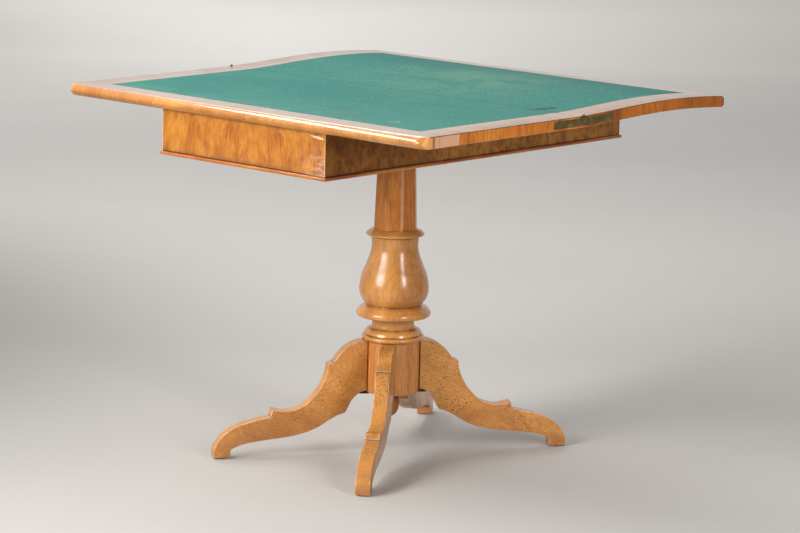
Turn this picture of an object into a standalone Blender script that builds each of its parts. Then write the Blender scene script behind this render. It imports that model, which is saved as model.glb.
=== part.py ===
"""Fold over card table with a swivelling top on a turned pedestal.

Frame: X runs along the long side of the frieze, Y along its short side and Z up. The origin is on
the floor under the column. The rest pose is the one in use: the top is swung crosswise and opened.
"""

import math

import bmesh
import bpy
from mathutils import Matrix, Vector

# Clearances
GAP = 0.0003
OVERRUN = 0.004

# Feet and legs
GLIDE_RADIUS = 0.012
GLIDE_HEIGHT = 0.004
GLIDE_SOLE_RADIUS = 0.009
LEG_REACH = 0.372
LEG_RISE = 0.2326
LEG_THICKNESS = 0.0292
LEG_ARRIS = 0.0012
LEG_SPLAY = math.radians(33.9)
BACK_LEG_SPLAY = math.radians(30.0)
TENON_THICKNESS = 0.014
TENON_INNER = 0.035
TENON_SHOULDER = 0.062
TENON_TOP_MARGIN = 0.010
TENON_RECESS = 0.001
TENON_STEP = 0.009

# Drum that the legs are housed in
DRUM_RADIUS = 0.055
DRUM_HEIGHT = 0.1086
LEG_PLATE_THICKNESS = 0.0025
LEG_PLATE_WIDTH = 0.020
LEG_PLATE_REACH_SHARE = 0.188
LEG_PLATE_SCREW_PLACE = 0.046
DROP_RADIUS = 0.0172
DROP_LENGTH = 0.0512
DROP_DOWEL_RADIUS = 0.007
DROP_DOWEL_LENGTH = 0.022

# Turned baluster
BALUSTER_RADIUS = 0.0757
BALUSTER_HEIGHT = 0.2281
BALUSTER_TENON_RADIUS = 0.020
BALUSTER_TENON_LENGTH = 0.030

# Eight sided shaft
SHAFT_HEIGHT = 0.150
SHAFT_FOOT_RADIUS = 0.0457
SHAFT_HEAD_RADIUS = 0.0406
SHAFT_TENON_RADIUS = 0.015
SHAFT_TENON_LENGTH = 0.022
SHAFT_ARRIS = 0.0008
SHAFT_TURN = math.radians(14.5)

# Box under the top
BEARER_SIDE = 0.220
BEARER_THICKNESS = 0.0246
END_OVERHANG = 0.03375
SIDE_OVERHANG = 0.01275
RAIL_THICKNESS = 0.020
RAIL_DEPTH = 0.084
RAIL_ARRIS = 0.0006
BEAD_HEIGHT = 0.0065
BEAD_PROJECTION = 0.0037
BEAD_SEAT = 0.0125
BEAD_ROUND = 0.0022
WELL_BOARD_THICKNESS = 0.010
DIVIDER_CLEARANCE = 0.0145
DIVIDER_THICKNESS = 0.010
GLUE_BLOCK_SIDE = 0.024
GLUE_BLOCK_HEIGHT = 0.060

# Top
LEAF_WIDTH = 0.463
LEAF_LENGTH = 0.955
LEAF_THICKNESS = 0.0225
LEAF_ARRIS = 0.0014
NOSE_ROUND = 0.0085
CORNER_ROUND = 0.020
LEAF_CROWN = 0.009
CROWN_SKEW = 1.25
BORDER_WIDTH = 0.062
BAIZE_THICKNESS = 0.0010
FOLD_RISE = 0.0003

# Swivel
PIVOT_RAIL_THICKNESS = 0.030
PIVOT_PLATE_LENGTH = 0.070
PIVOT_PLATE_WIDTH = 0.044
PIVOT_PLATE_THICKNESS = 0.003
PIVOT_PLATE_LET_IN = 0.0075
PIVOT_SCREW_PLACE = 0.026
BOLT_RADIUS = 0.006
BOLT_HEAD_RADIUS = 0.011
BOLT_HEAD_HEIGHT = 0.005
BOLT_TAIL = 0.004
WASHER_RADIUS = 0.016
WASHER_THICKNESS = 0.0025
NUT_RADIUS = 0.011
NUT_HEIGHT = 0.008
STOP_PEG_RADIUS = 0.006
STOP_PEG_DROP = 0.016
STOP_PEG_SOCKET = 0.008
STOP_PEG_SWING = 0.080

# Edge hinges
STRAP_LENGTH = 0.090
STRAP_HEIGHT = 0.0145
STRAP_THICKNESS = 0.003
STRAP_TONGUE = 0.012
EYE_RADIUS = 0.0028
EYE_INSET = 0.0001
PIN_RADIUS = 0.0013
STRAP_SCREW_SHARES = (0.50, 0.80)

# Screws
SCREW_HEAD_RADIUS = 0.0034
SCREW_HEAD_DEPTH = 0.0020
SCREW_SHANK_RADIUS = 0.0017
SCREW_LENGTH = 0.016

# Facets
ROUND_STEPS = 36
SMALL_STEPS = 16
SCREW_STEPS = 12
CURVE_STEPS = 2
CROWN_STEPS = 14
NOSE_STEPS = 4
CORNER_STEPS = 5
STRAP_STEPS = 4
SPLINE_STEPS = 2

# Side view of a leg, in shares of LEG_REACH and LEG_RISE. True marks a sharp corner.
LEG_OUTLINE_SHARES = (
    (0.121, 1.000, True), (0.194, 0.996, False), (0.226, 0.978, False), (0.263, 0.946, False),
    (0.296, 0.899, False), (0.320, 0.851, False), (0.339, 0.810, True), (0.367, 0.802, True),
    (0.374, 0.722, False), (0.403, 0.610, False), (0.444, 0.520, False), (0.495, 0.443, False),
    (0.548, 0.406, False), (0.605, 0.393, False), (0.645, 0.403, False), (0.675, 0.411, True),
    (0.683, 0.350, True), (0.761, 0.322, False), (0.844, 0.288, False), (0.917, 0.232, False),
    (0.970, 0.153, False), (0.997, 0.060, False), (0.995, 0.000, True), (0.905, 0.000, True),
    (0.903, 0.067, True), (0.884, 0.086, False), (0.839, 0.112, False), (0.772, 0.133, False),
    (0.618, 0.161, False), (0.522, 0.187, False), (0.430, 0.236, False), (0.351, 0.310, False),
    (0.304, 0.348, False), (0.267, 0.368, True), (0.255, 0.404, False), (0.238, 0.460, False),
    (0.211, 0.512, False), (0.175, 0.548, False), (0.121, 0.565, True),
)

# Profile of the baluster from its collar down, in shares of BALUSTER_RADIUS and BALUSTER_HEIGHT.
# Each stretch is one smooth curve, and two stretches meet at a sharp edge.
COLLAR_SHARES = ((0.601, 1.000), (0.720, 0.979), (0.783, 0.955), (0.740, 0.940), (0.655, 0.936))
VASE_SHARES = ((0.655, 0.936), (0.627, 0.852), (0.665, 0.770), (0.765, 0.680), (0.884, 0.580),
               (0.940, 0.471), (0.908, 0.400), (0.830, 0.350), (0.746, 0.318))
FLANGE_SHARES = ((0.752, 0.315), (0.880, 0.298), (0.984, 0.262), (1.000, 0.236), (0.940, 0.211),
                 (0.608, 0.200))
NECK_SHARES = ((0.573, 0.195), (0.568, 0.145), (0.577, 0.120))
SHOULDER_SHARES = ((0.661, 0.102), (0.750, 0.080), (0.786, 0.051))
RING_SHARES = ((0.766, 0.047), (0.840, 0.034), (0.845, 0.013), (0.812, 0.000))

# Profile of the drop from its neck down, in shares of DROP_RADIUS and DROP_LENGTH
DROP_SHARES = ((0.700, 1.000), (0.660, 0.930), (0.800, 0.860), (0.970, 0.760), (1.000, 0.620),
               (0.907, 0.410), (0.730, 0.250), (0.480, 0.110), (0.000, 0.000))

# Places that follow from the sizes
SOLE = GLIDE_HEIGHT + GAP
DRUM_TOP = SOLE + LEG_RISE
DRUM_BOTTOM = DRUM_TOP - DRUM_HEIGHT
BALUSTER_FOOT = DRUM_TOP + GAP
SHAFT_FOOT = BALUSTER_FOOT + BALUSTER_HEIGHT + GAP
SHAFT_HEAD = SHAFT_FOOT + SHAFT_HEIGHT
BEARER_BOTTOM = SHAFT_HEAD + GAP
RAIL_BOTTOM = BEARER_BOTTOM + BEARER_THICKNESS + GAP
RAIL_TOP = RAIL_BOTTOM + RAIL_DEPTH
LEAF_BOTTOM = RAIL_TOP + GAP
TOP_SURFACE = LEAF_BOTTOM + LEAF_THICKNESS
FRIEZE_LENGTH = LEAF_LENGTH - 2 * END_OVERHANG
FRIEZE_WIDTH = LEAF_WIDTH - 2 * SIDE_OVERHANG
INNER_X = FRIEZE_LENGTH / 2 - RAIL_THICKNESS
INNER_Y = FRIEZE_WIDTH / 2 - RAIL_THICKNESS
PIVOT = Vector((LEAF_WIDTH / 4, LEAF_WIDTH / 4, 0))
STOP_PEG_OFFSET = STOP_PEG_SWING * math.cos(math.pi / 4)
PIVOT_RAIL_HALF = STOP_PEG_OFFSET - STOP_PEG_RADIUS - GAP
DIVIDER_PLACE = PIVOT.x - PIVOT_RAIL_HALF - DIVIDER_CLEARANCE
LEG_PLATE_REACH = LEG_PLATE_REACH_SHARE * LEG_REACH
FOLD_AXIS_HEIGHT = TOP_SURFACE + FOLD_RISE
LEAF_END = LEAF_LENGTH / 2
BAIZE_RECESS = BAIZE_THICKNESS + GAP
STRAP_LAYER = (STRAP_THICKNESS - GAP) / 2

LEG_ANGLES = {
    "leg_left": math.pi - LEG_SPLAY,
    "leg_front": math.pi + LEG_SPLAY,
    "leg_right": -LEG_SPLAY,
    "leg_back": BACK_LEG_SPLAY,
}


def empty_scene():
    """Remove every object and add the collections for the table and its cutters."""
    for item in list(bpy.data.objects):
        bpy.data.objects.remove(item, do_unlink=True)
    collections = {}
    for name in ("card_table", "cutters"):
        collections[name] = bpy.data.collections.new(name)
        bpy.context.scene.collection.children.link(collections[name])
    return collections


COLLECTIONS = empty_scene()


def make_material(name, colour, roughness, metallic=0.0):
    """Return a Principled material of one colour."""
    material = bpy.data.materials.new(name)
    material.use_nodes = True
    shader = material.node_tree.nodes["Principled BSDF"]
    shader.inputs["Base Color"].default_value = (*colour, 1.0)
    shader.inputs["Roughness"].default_value = roughness
    shader.inputs["Metallic"].default_value = metallic
    return material


VENEER = make_material("walnut_veneer", (0.50, 0.20, 0.05), 0.28)
TURNED_WOOD = make_material("turned_walnut", (0.48, 0.20, 0.06), 0.25)
SHADED_WOOD = make_material("carcase_wood", (0.30, 0.16, 0.07), 0.6)
BAIZE = make_material("green_baize", (0.08, 0.29, 0.23), 0.95)
BRASS = make_material("aged_brass", (0.36, 0.30, 0.12), 0.4, 1.0)
IRON = make_material("dark_iron", (0.09, 0.08, 0.07), 0.55, 1.0)


def add_object(name, mesh, material):
    """Link a mesh as a finished sub-part of the table."""
    piece = bpy.data.objects.new(name, mesh)
    COLLECTIONS["card_table"].objects.link(piece)
    mesh.materials.clear()
    mesh.materials.append(material)
    return piece


def as_cutter(piece):
    """Move an object to the cutters, out of the model."""
    COLLECTIONS["card_table"].objects.unlink(piece)
    COLLECTIONS["cutters"].objects.link(piece)
    piece.hide_render = True
    piece.display_type = "WIRE"
    return piece


def combine(piece, other, operation):
    """Add a Boolean of another object to a piece and hide that other object."""
    as_cutter(other)
    modifier = piece.modifiers.new(operation.lower(), "BOOLEAN")
    modifier.operation = operation
    modifier.object = other
    modifier.solver = "EXACT"


def cut(piece, *cutters):
    """Take each cutter out of a piece."""
    for cutter in cutters:
        combine(piece, cutter, "DIFFERENCE")


def join(piece, *others):
    """Fuse each other object to a piece."""
    for other in others:
        combine(piece, other, "UNION")


def mesh_from(bm, name):
    """Write a bmesh to a new mesh with its normals facing out."""
    bmesh.ops.recalc_face_normals(bm, faces=bm.faces)
    mesh = bpy.data.meshes.new(name)
    bm.to_mesh(mesh)
    bm.free()
    return mesh


def add_box(name, material, low, high, arris=0.0):
    """Box between two corners, with its arrises taken off."""
    low = Vector(low)
    high = Vector(high)
    bm = bmesh.new()
    bmesh.ops.create_cube(bm, size=1.0, matrix=Matrix.Diagonal((*(high - low), 1.0)))
    piece = add_object(name, mesh_from(bm, name), material)
    piece.location = (low + high) / 2
    if arris:
        add_bevel(piece, arris, 1)
    return piece


def add_bevel(piece, width, segments, by_weight=False):
    """Round the sharp or the weighted edges of a piece."""
    bevel = piece.modifiers.new("arris", "BEVEL")
    bevel.width = width
    bevel.segments = segments
    bevel.limit_method = "WEIGHT" if by_weight else "ANGLE"
    bevel.angle_limit = math.radians(40)
    return bevel


def add_cylinder(name, material, radius, low, high, steps=SMALL_STEPS, head_radius=None, turn=0.0):
    """Cylinder, cone or prism between two points on its axis."""
    low = Vector(low)
    high = Vector(high)
    axis = high - low
    bm = bmesh.new()
    bmesh.ops.create_cone(
        bm, cap_ends=True, segments=steps, radius1=radius,
        radius2=radius if head_radius is None else head_radius, depth=axis.length,
        matrix=Matrix.Rotation(turn, 4, "Z"),
    )
    piece = add_object(name, mesh_from(bm, name), material)
    piece.location = (low + high) / 2
    piece.rotation_euler = axis.to_track_quat("Z", "Y").to_euler()
    return piece


def add_turned(name, material, profile, steps=ROUND_STEPS):
    """Turned piece from a profile of (radius, height) points that runs down its outer side."""
    mesh = bpy.data.meshes.new(name)
    points = [(radius, 0.0, height) for radius, height in profile]
    mesh.from_pydata(points, [(i, i + 1) for i in range(len(points) - 1)], [])
    piece = add_object(name, mesh, material)
    screw = piece.modifiers.new("turn", "SCREW")
    screw.steps = steps
    screw.render_steps = steps
    screw.use_merge_vertices = True
    screw.merge_threshold = GAP / 10
    return piece


def curve_solid(name, material, spline_points, thickness, bezier=False):
    """Flat closed outline in local X and Y, thick along local Z, as a mesh with whole caps."""
    curve = bpy.data.curves.new(name, "CURVE")
    curve.dimensions = "2D"
    curve.fill_mode = "BOTH"
    curve.extrude = thickness / 2
    curve.resolution_u = CURVE_STEPS
    spline = curve.splines.new("BEZIER" if bezier else "POLY")
    if bezier:
        spline.bezier_points.add(len(spline_points) - 1)
        for point, (x, y, sharp) in zip(spline.bezier_points, spline_points):
            point.co = (x, y, 0.0)
            handle = "VECTOR" if sharp else "AUTO"
            point.handle_left_type = handle
            point.handle_right_type = handle
    else:
        spline.points.add(len(spline_points) - 1)
        for point, (x, y) in zip(spline.points, spline_points):
            point.co = (x, y, 0.0, 1.0)
    spline.use_cyclic_u = True
    holder = bpy.data.objects.new(name + "_outline", curve)
    COLLECTIONS["cutters"].objects.link(holder)
    bpy.context.view_layer.update()
    flat = bpy.data.meshes.new_from_object(
        holder.evaluated_get(bpy.context.evaluated_depsgraph_get())
    )
    bpy.data.objects.remove(holder, do_unlink=True)
    bm = bmesh.new()
    bm.from_mesh(flat)
    bmesh.ops.remove_doubles(bm, verts=bm.verts, dist=GAP / 10)
    flat_caps = [face for face in bm.faces if abs(face.normal.z) > math.cos(math.radians(5))]
    cap_edges = {edge for face in flat_caps for edge in face.edges if edge.calc_face_angle(1.0) < 0.01}
    bmesh.ops.dissolve_edges(bm, edges=list(cap_edges), use_verts=False)
    return add_object(name, mesh_from(bm, name), material)


def stand_upright(piece):
    """Turn an outline drawn in X and Y up into the X and Z plane, by an exact quarter turn."""
    piece.data.transform(Matrix(((1, 0, 0, 0), (0, 0, -1, 0), (0, 1, 0, 0), (0, 0, 0, 1))))


def weigh_edges(piece, chosen):
    """Give a full bevel weight to the edges that a test picks."""
    bm = bmesh.new()
    bm.from_mesh(piece.data)
    layer = bm.edges.layers.float.new("bevel_weight_edge")
    for edge in bm.edges:
        edge[layer] = 1.0 if chosen(edge) else 0.0
    bm.to_mesh(piece.data)
    bm.free()


def smooth_through(points, steps=SPLINE_STEPS):
    """Points of a smooth curve through the given ones, with their ends kept."""
    padded = [points[0], *points, points[-1]]
    curve = []
    for before, start, end, after in zip(padded, padded[1:], padded[2:], padded[3:]):
        for step in range(steps):
            t = step / steps
            curve.append(tuple(
                0.5 * (2 * b + (c - a) * t + (2 * a - 5 * b + 4 * c - d) * t * t
                       + (3 * b - a - 3 * c + d) * t ** 3)
                for a, b, c, d in zip(before, start, end, after)
            ))
    return [*curve, points[-1]]


def add_screw(name, seat, direction):
    """Countersunk screw whose head is flush at its seat and whose shank runs along a direction."""
    return screw_shape(name, seat, direction, 0.0)


def screw_hole(name, seat, direction):
    """Cutter for a screw, larger all round by the clearance."""
    return screw_shape(name, seat, direction, GAP)


def screw_shape(name, seat, direction, clearance):
    """Turned body of a screw, head at the top of its own Z, moved to its seat."""
    shank = SCREW_SHANK_RADIUS + clearance
    head = SCREW_HEAD_RADIUS + clearance
    profile = [(0.0, 0.0)]
    if clearance:
        profile = [(0.0, OVERRUN), (head, OVERRUN)]
    profile += [(head, 0.0), (shank, -SCREW_HEAD_DEPTH - clearance),
                (shank, -SCREW_LENGTH - clearance), (0.0, -SCREW_LENGTH - shank)]
    piece = add_turned(name, BRASS, profile, SCREW_STEPS)
    piece.location = seat
    piece.rotation_euler = (-Vector(direction)).to_track_quat("Z", "Y").to_euler()
    return piece


def crown(x):
    """Height by which the main leaf stands proud of flat, at a distance from the fold."""
    share = min(max(x / LEAF_WIDTH, 0.0), 1.0)
    return LEAF_CROWN * math.sin(math.pi * share ** CROWN_SKEW)


def flat(_x):
    """Height of the flap, which is flat."""
    return 0.0


def leaf_slab(name, material, span, depths, length, bow, steps=CROWN_STEPS, nose=0.0):
    """Slab under a leaf's surface, between two distances from the fold and two depths."""
    start, end = span
    low, high = depths
    if bow is flat:
        steps = 1
    places = [start + (end - nose - start) * i / steps for i in range(steps + 1)]
    outline = [(x, TOP_SURFACE + bow(x) - high) for x in places]
    outline += nose_arc(end, nose, low, high, bow)
    outline += [(x, TOP_SURFACE + bow(x) - low) for x in reversed(places)]
    piece = curve_solid(name, material, outline, length)
    stand_upright(piece)
    return piece


def nose_arc(end, nose, low, high, bow):
    """Points that round the outer edge of a slab from below, without the arcs' first and last."""
    if not nose:
        return []
    arcs = []
    for depth, turn in ((high - nose, -math.pi / 2), (low + nose, 0.0)):
        for i in range(NOSE_STEPS + 1):
            angle = turn + math.pi / 2 * i / NOSE_STEPS
            x = end - nose + nose * math.cos(angle)
            arcs.append((x, TOP_SURFACE + bow(x) - depth + nose * math.sin(angle)))
    return arcs[1:-1]


def corner_cutter(name, side):
    """Cutter that rounds a leaf's outer corner as seen from above."""
    arc_radius = CORNER_ROUND + GAP
    middle_x = LEAF_WIDTH - CORNER_ROUND
    middle_y = LEAF_END - CORNER_ROUND
    outline = []
    for i in range(CORNER_STEPS + 1):
        angle = math.pi / 2 * i / CORNER_STEPS
        outline.append((middle_x + arc_radius * math.cos(angle),
                        side * (middle_y + arc_radius * math.sin(angle))))
    outline += [(middle_x, side * (LEAF_END + OVERRUN)),
                (LEAF_WIDTH + OVERRUN, side * (LEAF_END + OVERRUN)),
                (LEAF_WIDTH + OVERRUN, side * middle_y)]
    cutter = curve_solid(name, VENEER, outline, 2 * (LEAF_THICKNESS + LEAF_CROWN))
    cutter.location.z = TOP_SURFACE
    return cutter


def mirror_to_flap(piece):
    """Reflect a piece modelled on the main leaf's side to the flap's side of the fold."""
    piece.data.transform(Matrix.Diagonal((-1.0, 1.0, 1.0, 1.0)))
    piece.data.flip_normals()
    piece.location.x *= -1
    return piece


def make_leg(name, angle):
    """Scroll leg cut from a board, scribed to the drum and tenoned into it."""
    outline = [(x * LEG_REACH, SOLE + z * LEG_RISE, sharp) for x, z, sharp in LEG_OUTLINE_SHARES]
    leg = curve_solid(name, VENEER, outline, LEG_THICKNESS, bezier=True)
    stand_upright(leg)
    weigh_edges(leg, lambda edge: all(
        abs(abs(vert.co.y) - LEG_THICKNESS / 2) < GAP for vert in edge.verts))
    add_bevel(leg, LEG_ARRIS, 1, by_weight=True)
    scribe = add_cylinder(name + "_scribe", IRON, DRUM_RADIUS + GAP,
                          (0, 0, 0), (0, 0, DRUM_TOP + OVERRUN), ROUND_STEPS)
    tenon_top = DRUM_TOP - TENON_TOP_MARGIN
    tenon_outline = [
        (TENON_INNER, DRUM_BOTTOM + GAP), (DRUM_RADIUS - TENON_RECESS, DRUM_BOTTOM + GAP),
        (DRUM_RADIUS - TENON_RECESS, DRUM_BOTTOM + TENON_STEP),
        (TENON_SHOULDER, DRUM_BOTTOM + TENON_STEP),
        (TENON_SHOULDER, tenon_top), (TENON_INNER, tenon_top),
    ]
    tenon = curve_solid(name + "_tenon", VENEER, tenon_outline, TENON_THICKNESS)
    stand_upright(tenon)
    hole = screw_hole(name + "_screw_hole", (LEG_PLATE_SCREW_PLACE, 0, leg_plate_bottom()), (0, 0, 1))
    turn = Matrix.Rotation(angle, 4, "Z")
    for piece in (leg, scribe, tenon, hole):
        piece.matrix_world = turn @ piece.matrix_basis
    cut(leg, scribe)
    join(leg, tenon)
    cut(leg, hole)
    return leg


def leg_plate_bottom():
    """Height of the underside of the iron plate."""
    return DRUM_BOTTOM - GAP - LEG_PLATE_THICKNESS


def make_glide(name, angle):
    """Domed metal glide under a foot."""
    sole_shares = [share for share, height, _sharp in LEG_OUTLINE_SHARES if height == 0.0]
    reach = LEG_REACH * sum(sole_shares) / len(sole_shares)
    dome = smooth_through([
        (GLIDE_RADIUS, GLIDE_HEIGHT),
        ((GLIDE_RADIUS + GLIDE_SOLE_RADIUS) / 2, GLIDE_HEIGHT / 3),
        (GLIDE_SOLE_RADIUS, 0.0),
    ])
    glide = add_turned(name, IRON, [(0.0, GLIDE_HEIGHT), *dome, (0.0, 0.0)], SMALL_STEPS)
    glide.location = (reach * math.cos(angle), reach * math.sin(angle), 0.0)
    return glide


def dowel_cylinder(name, radius, clearance):
    """Cylinder on the place of the drop's dowel, from under the plate up into the drum."""
    return add_cylinder(name, IRON, radius, (0, 0, leg_plate_bottom() - OVERRUN),
                        (0, 0, DRUM_BOTTOM + DROP_DOWEL_LENGTH + clearance))


def make_drop():
    """Turned drop under the middle of the drum, with a dowel through the plate."""
    neck = leg_plate_bottom() - GAP
    dowel_top = DRUM_BOTTOM + DROP_DOWEL_LENGTH
    profile = [(0.0, dowel_top), (DROP_DOWEL_RADIUS, dowel_top), (DROP_DOWEL_RADIUS, neck)]
    for radius, height in smooth_through(DROP_SHARES):
        profile.append((radius * DROP_RADIUS, neck + (height - 1) * DROP_LENGTH))
    return add_turned("drum_drop", TURNED_WOOD, profile)


def make_drum():
    """Round block that houses the four legs, the foot of the baluster and the drop."""
    drum = add_cylinder("drum", TURNED_WOOD, DRUM_RADIUS,
                        (0, 0, DRUM_BOTTOM), (0, 0, DRUM_TOP), ROUND_STEPS)
    for name, angle in LEG_ANGLES.items():
        slot = add_box(
            "drum_slot_" + name, IRON,
            (TENON_INNER - GAP, -TENON_THICKNESS / 2 - GAP, DRUM_BOTTOM - OVERRUN),
            (DRUM_RADIUS + OVERRUN, TENON_THICKNESS / 2 + GAP, DRUM_TOP - TENON_TOP_MARGIN + GAP),
        )
        slot.matrix_world = Matrix.Rotation(angle, 4, "Z") @ slot.matrix_basis
        cut(drum, slot)
    cut(drum, add_cylinder(
        "drum_socket", IRON, BALUSTER_TENON_RADIUS + GAP,
        (0, 0, DRUM_TOP - BALUSTER_TENON_LENGTH), (0, 0, DRUM_TOP + OVERRUN), ROUND_STEPS,
    ))
    cut(drum, dowel_cylinder("drum_dowel_hole", DROP_DOWEL_RADIUS + GAP, GAP))
    return drum


def make_leg_plate():
    """Iron cross that ties the legs under the drum, with its four screws."""
    bottom = leg_plate_bottom()
    bars = []
    for number, angle in enumerate((LEG_SPLAY, -LEG_SPLAY)):
        bar = add_box(
            "leg_plate" if number == 0 else "leg_plate_bar", IRON,
            (-LEG_PLATE_REACH, -LEG_PLATE_WIDTH / 2, bottom),
            (LEG_PLATE_REACH, LEG_PLATE_WIDTH / 2, bottom + LEG_PLATE_THICKNESS),
        )
        bar.matrix_world = Matrix.Rotation(angle, 4, "Z") @ bar.matrix_basis
        bars.append(bar)
    plate, other = bars
    join(plate, other)
    cut(plate, dowel_cylinder("leg_plate_dowel_hole", DROP_DOWEL_RADIUS + GAP, GAP))
    for name, angle in LEG_ANGLES.items():
        side = name.removeprefix("leg_")
        seat = (LEG_PLATE_SCREW_PLACE * math.cos(angle), LEG_PLATE_SCREW_PLACE * math.sin(angle), bottom)
        cut(plate, screw_hole("leg_plate_hole_" + side, seat, (0, 0, 1)))
        add_screw("leg_plate_screw_" + side, seat, (0, 0, 1))
    return plate


def make_baluster():
    """Turned vase with its collar, flange and base ring, and a tenon at its foot."""
    profile = [(0.0, SHAFT_FOOT - GAP - SHAFT_TENON_LENGTH),
               (SHAFT_TENON_RADIUS + GAP, SHAFT_FOOT - GAP - SHAFT_TENON_LENGTH),
               (SHAFT_TENON_RADIUS + GAP, SHAFT_FOOT - GAP)]
    for stretch in (COLLAR_SHARES, VASE_SHARES, FLANGE_SHARES, NECK_SHARES, SHOULDER_SHARES,
                    RING_SHARES):
        for radius, height in smooth_through(stretch):
            point = (radius * BALUSTER_RADIUS, BALUSTER_FOOT + height * BALUSTER_HEIGHT)
            if point != profile[-1]:
                profile.append(point)
    tenon_foot = DRUM_TOP - BALUSTER_TENON_LENGTH + GAP
    profile += [(BALUSTER_TENON_RADIUS, BALUSTER_FOOT), (BALUSTER_TENON_RADIUS, tenon_foot),
                (0.0, tenon_foot)]
    return add_turned("baluster", TURNED_WOOD, profile)


def make_shaft():
    """Eight sided tapered shaft with a round tenon at each end."""
    shaft = add_cylinder("column_shaft", TURNED_WOOD, SHAFT_FOOT_RADIUS, (0, 0, SHAFT_FOOT),
                         (0, 0, SHAFT_HEAD), 8, SHAFT_HEAD_RADIUS, SHAFT_TURN)
    add_bevel(shaft, SHAFT_ARRIS, 1)
    join(shaft, add_cylinder(
        "shaft_tenon", TURNED_WOOD, SHAFT_TENON_RADIUS, (0, 0, SHAFT_FOOT - SHAFT_TENON_LENGTH),
        (0, 0, SHAFT_HEAD + SHAFT_TENON_LENGTH),
    ))
    return shaft


def make_bearer():
    """Square block that carries the box on the head of the shaft."""
    half = BEARER_SIDE / 2
    bearer = add_box("column_bearer", SHADED_WOOD, (-half, -half, BEARER_BOTTOM),
                     (half, half, BEARER_BOTTOM + BEARER_THICKNESS), RAIL_ARRIS)
    cut(bearer, add_cylinder(
        "bearer_socket", IRON, SHAFT_TENON_RADIUS + GAP, (0, 0, BEARER_BOTTOM - OVERRUN),
        (0, 0, RAIL_BOTTOM + OVERRUN),
    ))
    return bearer


def add_mitred(name, material, half_length, outer, depth, low, high, turn):
    """Bar mitred at both ends, with its outer face at a distance along Y, turned about Z."""
    reach = half_length - GAP * math.cos(math.pi / 4)
    bm = bmesh.new()
    bmesh.ops.create_cube(bm, size=1.0)
    for vert in bm.verts:
        inner = vert.co.y < 0
        vert.co.x *= 2 * (reach - depth if inner else reach)
        vert.co.y = outer - depth if inner else outer
        vert.co.z = high if vert.co.z > 0 else low
    piece = add_object(name, mesh_from(bm, name), material)
    weigh_edges(piece, lambda edge: all(vert.co.y > outer - GAP for vert in edge.verts)
                and abs(edge.verts[0].co.x - edge.verts[1].co.x) > GAP)
    piece.rotation_euler.z = turn
    return piece


def make_frieze():
    """Four mitred rails of the box, the bead under each rail and the blocks glued inside them."""
    long_x = FRIEZE_LENGTH / 2
    long_y = FRIEZE_WIDTH / 2
    bead_depth = BEAD_SEAT + BEAD_PROJECTION
    sides = (
        ("back", "back_rail", long_x, long_y, 0.0),
        ("left", "left_end", long_y, long_x, math.pi / 2),
        ("front", "front_rail", long_x, long_y, math.pi),
        ("right", "right_end", long_y, long_x, -math.pi / 2),
    )
    for name, rail_name, half_length, outer, turn in sides:
        rail = add_mitred("frieze_" + rail_name, VENEER, half_length, outer, RAIL_THICKNESS,
                          RAIL_BOTTOM, RAIL_TOP, turn)
        add_bevel(rail, RAIL_ARRIS, 1, by_weight=True)
        bead = add_mitred("bead_" + name, VENEER, half_length + BEAD_PROJECTION,
                          outer + BEAD_PROJECTION, bead_depth,
                          RAIL_BOTTOM - GAP - BEAD_HEIGHT, RAIL_BOTTOM - GAP, turn)
        add_bevel(bead, BEAD_ROUND, 2, by_weight=True)
    floor = RAIL_BOTTOM + WELL_BOARD_THICKNESS + GAP
    for name, side in (("front", -1), ("back", 1)):
        ys = sorted((side * (INNER_Y - GAP), side * (INNER_Y - GLUE_BLOCK_SIDE)))
        add_box(f"glue_block_{name}", SHADED_WOOD, (INNER_X - GLUE_BLOCK_SIDE, ys[0], floor),
                (INNER_X - GAP, ys[1], floor + GLUE_BLOCK_HEIGHT), RAIL_ARRIS)
        add_box(f"pivot_rail_block_{name}", SHADED_WOOD,
                (PIVOT.x - PIVOT_RAIL_HALF, ys[0], floor),
                (PIVOT.x + PIVOT_RAIL_HALF, ys[1], RAIL_TOP - PIVOT_RAIL_THICKNESS - GAP), RAIL_ARRIS)


def make_well():
    """Bottom board of the box and the divider that closes the card well."""
    reach_x = INNER_X - GAP
    reach_y = INNER_Y - GAP
    board_top = RAIL_BOTTOM + WELL_BOARD_THICKNESS
    add_box("well_board", SHADED_WOOD, (-reach_x, -reach_y, RAIL_BOTTOM),
            (reach_x, reach_y, board_top))
    add_box("well_divider", SHADED_WOOD,
            (DIVIDER_PLACE - DIVIDER_THICKNESS, -reach_y, board_top + GAP),
            (DIVIDER_PLACE, reach_y, RAIL_TOP))


def make_pivot_rail():
    """Cross rail that the pivot bolt turns in."""
    rail = add_box(
        "pivot_rail", SHADED_WOOD,
        (PIVOT.x - PIVOT_RAIL_HALF, -INNER_Y + GAP, RAIL_TOP - PIVOT_RAIL_THICKNESS),
        (PIVOT.x + PIVOT_RAIL_HALF, INNER_Y - GAP, RAIL_TOP),
    )
    cut(rail, pivot_cylinder("pivot_rail_hole", IRON, BOLT_RADIUS + GAP,
                             RAIL_TOP - PIVOT_RAIL_THICKNESS - OVERRUN, RAIL_TOP + OVERRUN))
    return rail


def pivot_cylinder(name, material, radius, low, high, steps=SMALL_STEPS):
    """Cylinder on the swivel axis between two heights."""
    return add_cylinder(name, material, radius, (PIVOT.x, PIVOT.y, low), (PIVOT.x, PIVOT.y, high), steps)


def pivot_plate_top():
    """Height of the upper face of the plate under the main leaf."""
    return LEAF_BOTTOM + PIVOT_PLATE_LET_IN


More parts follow.
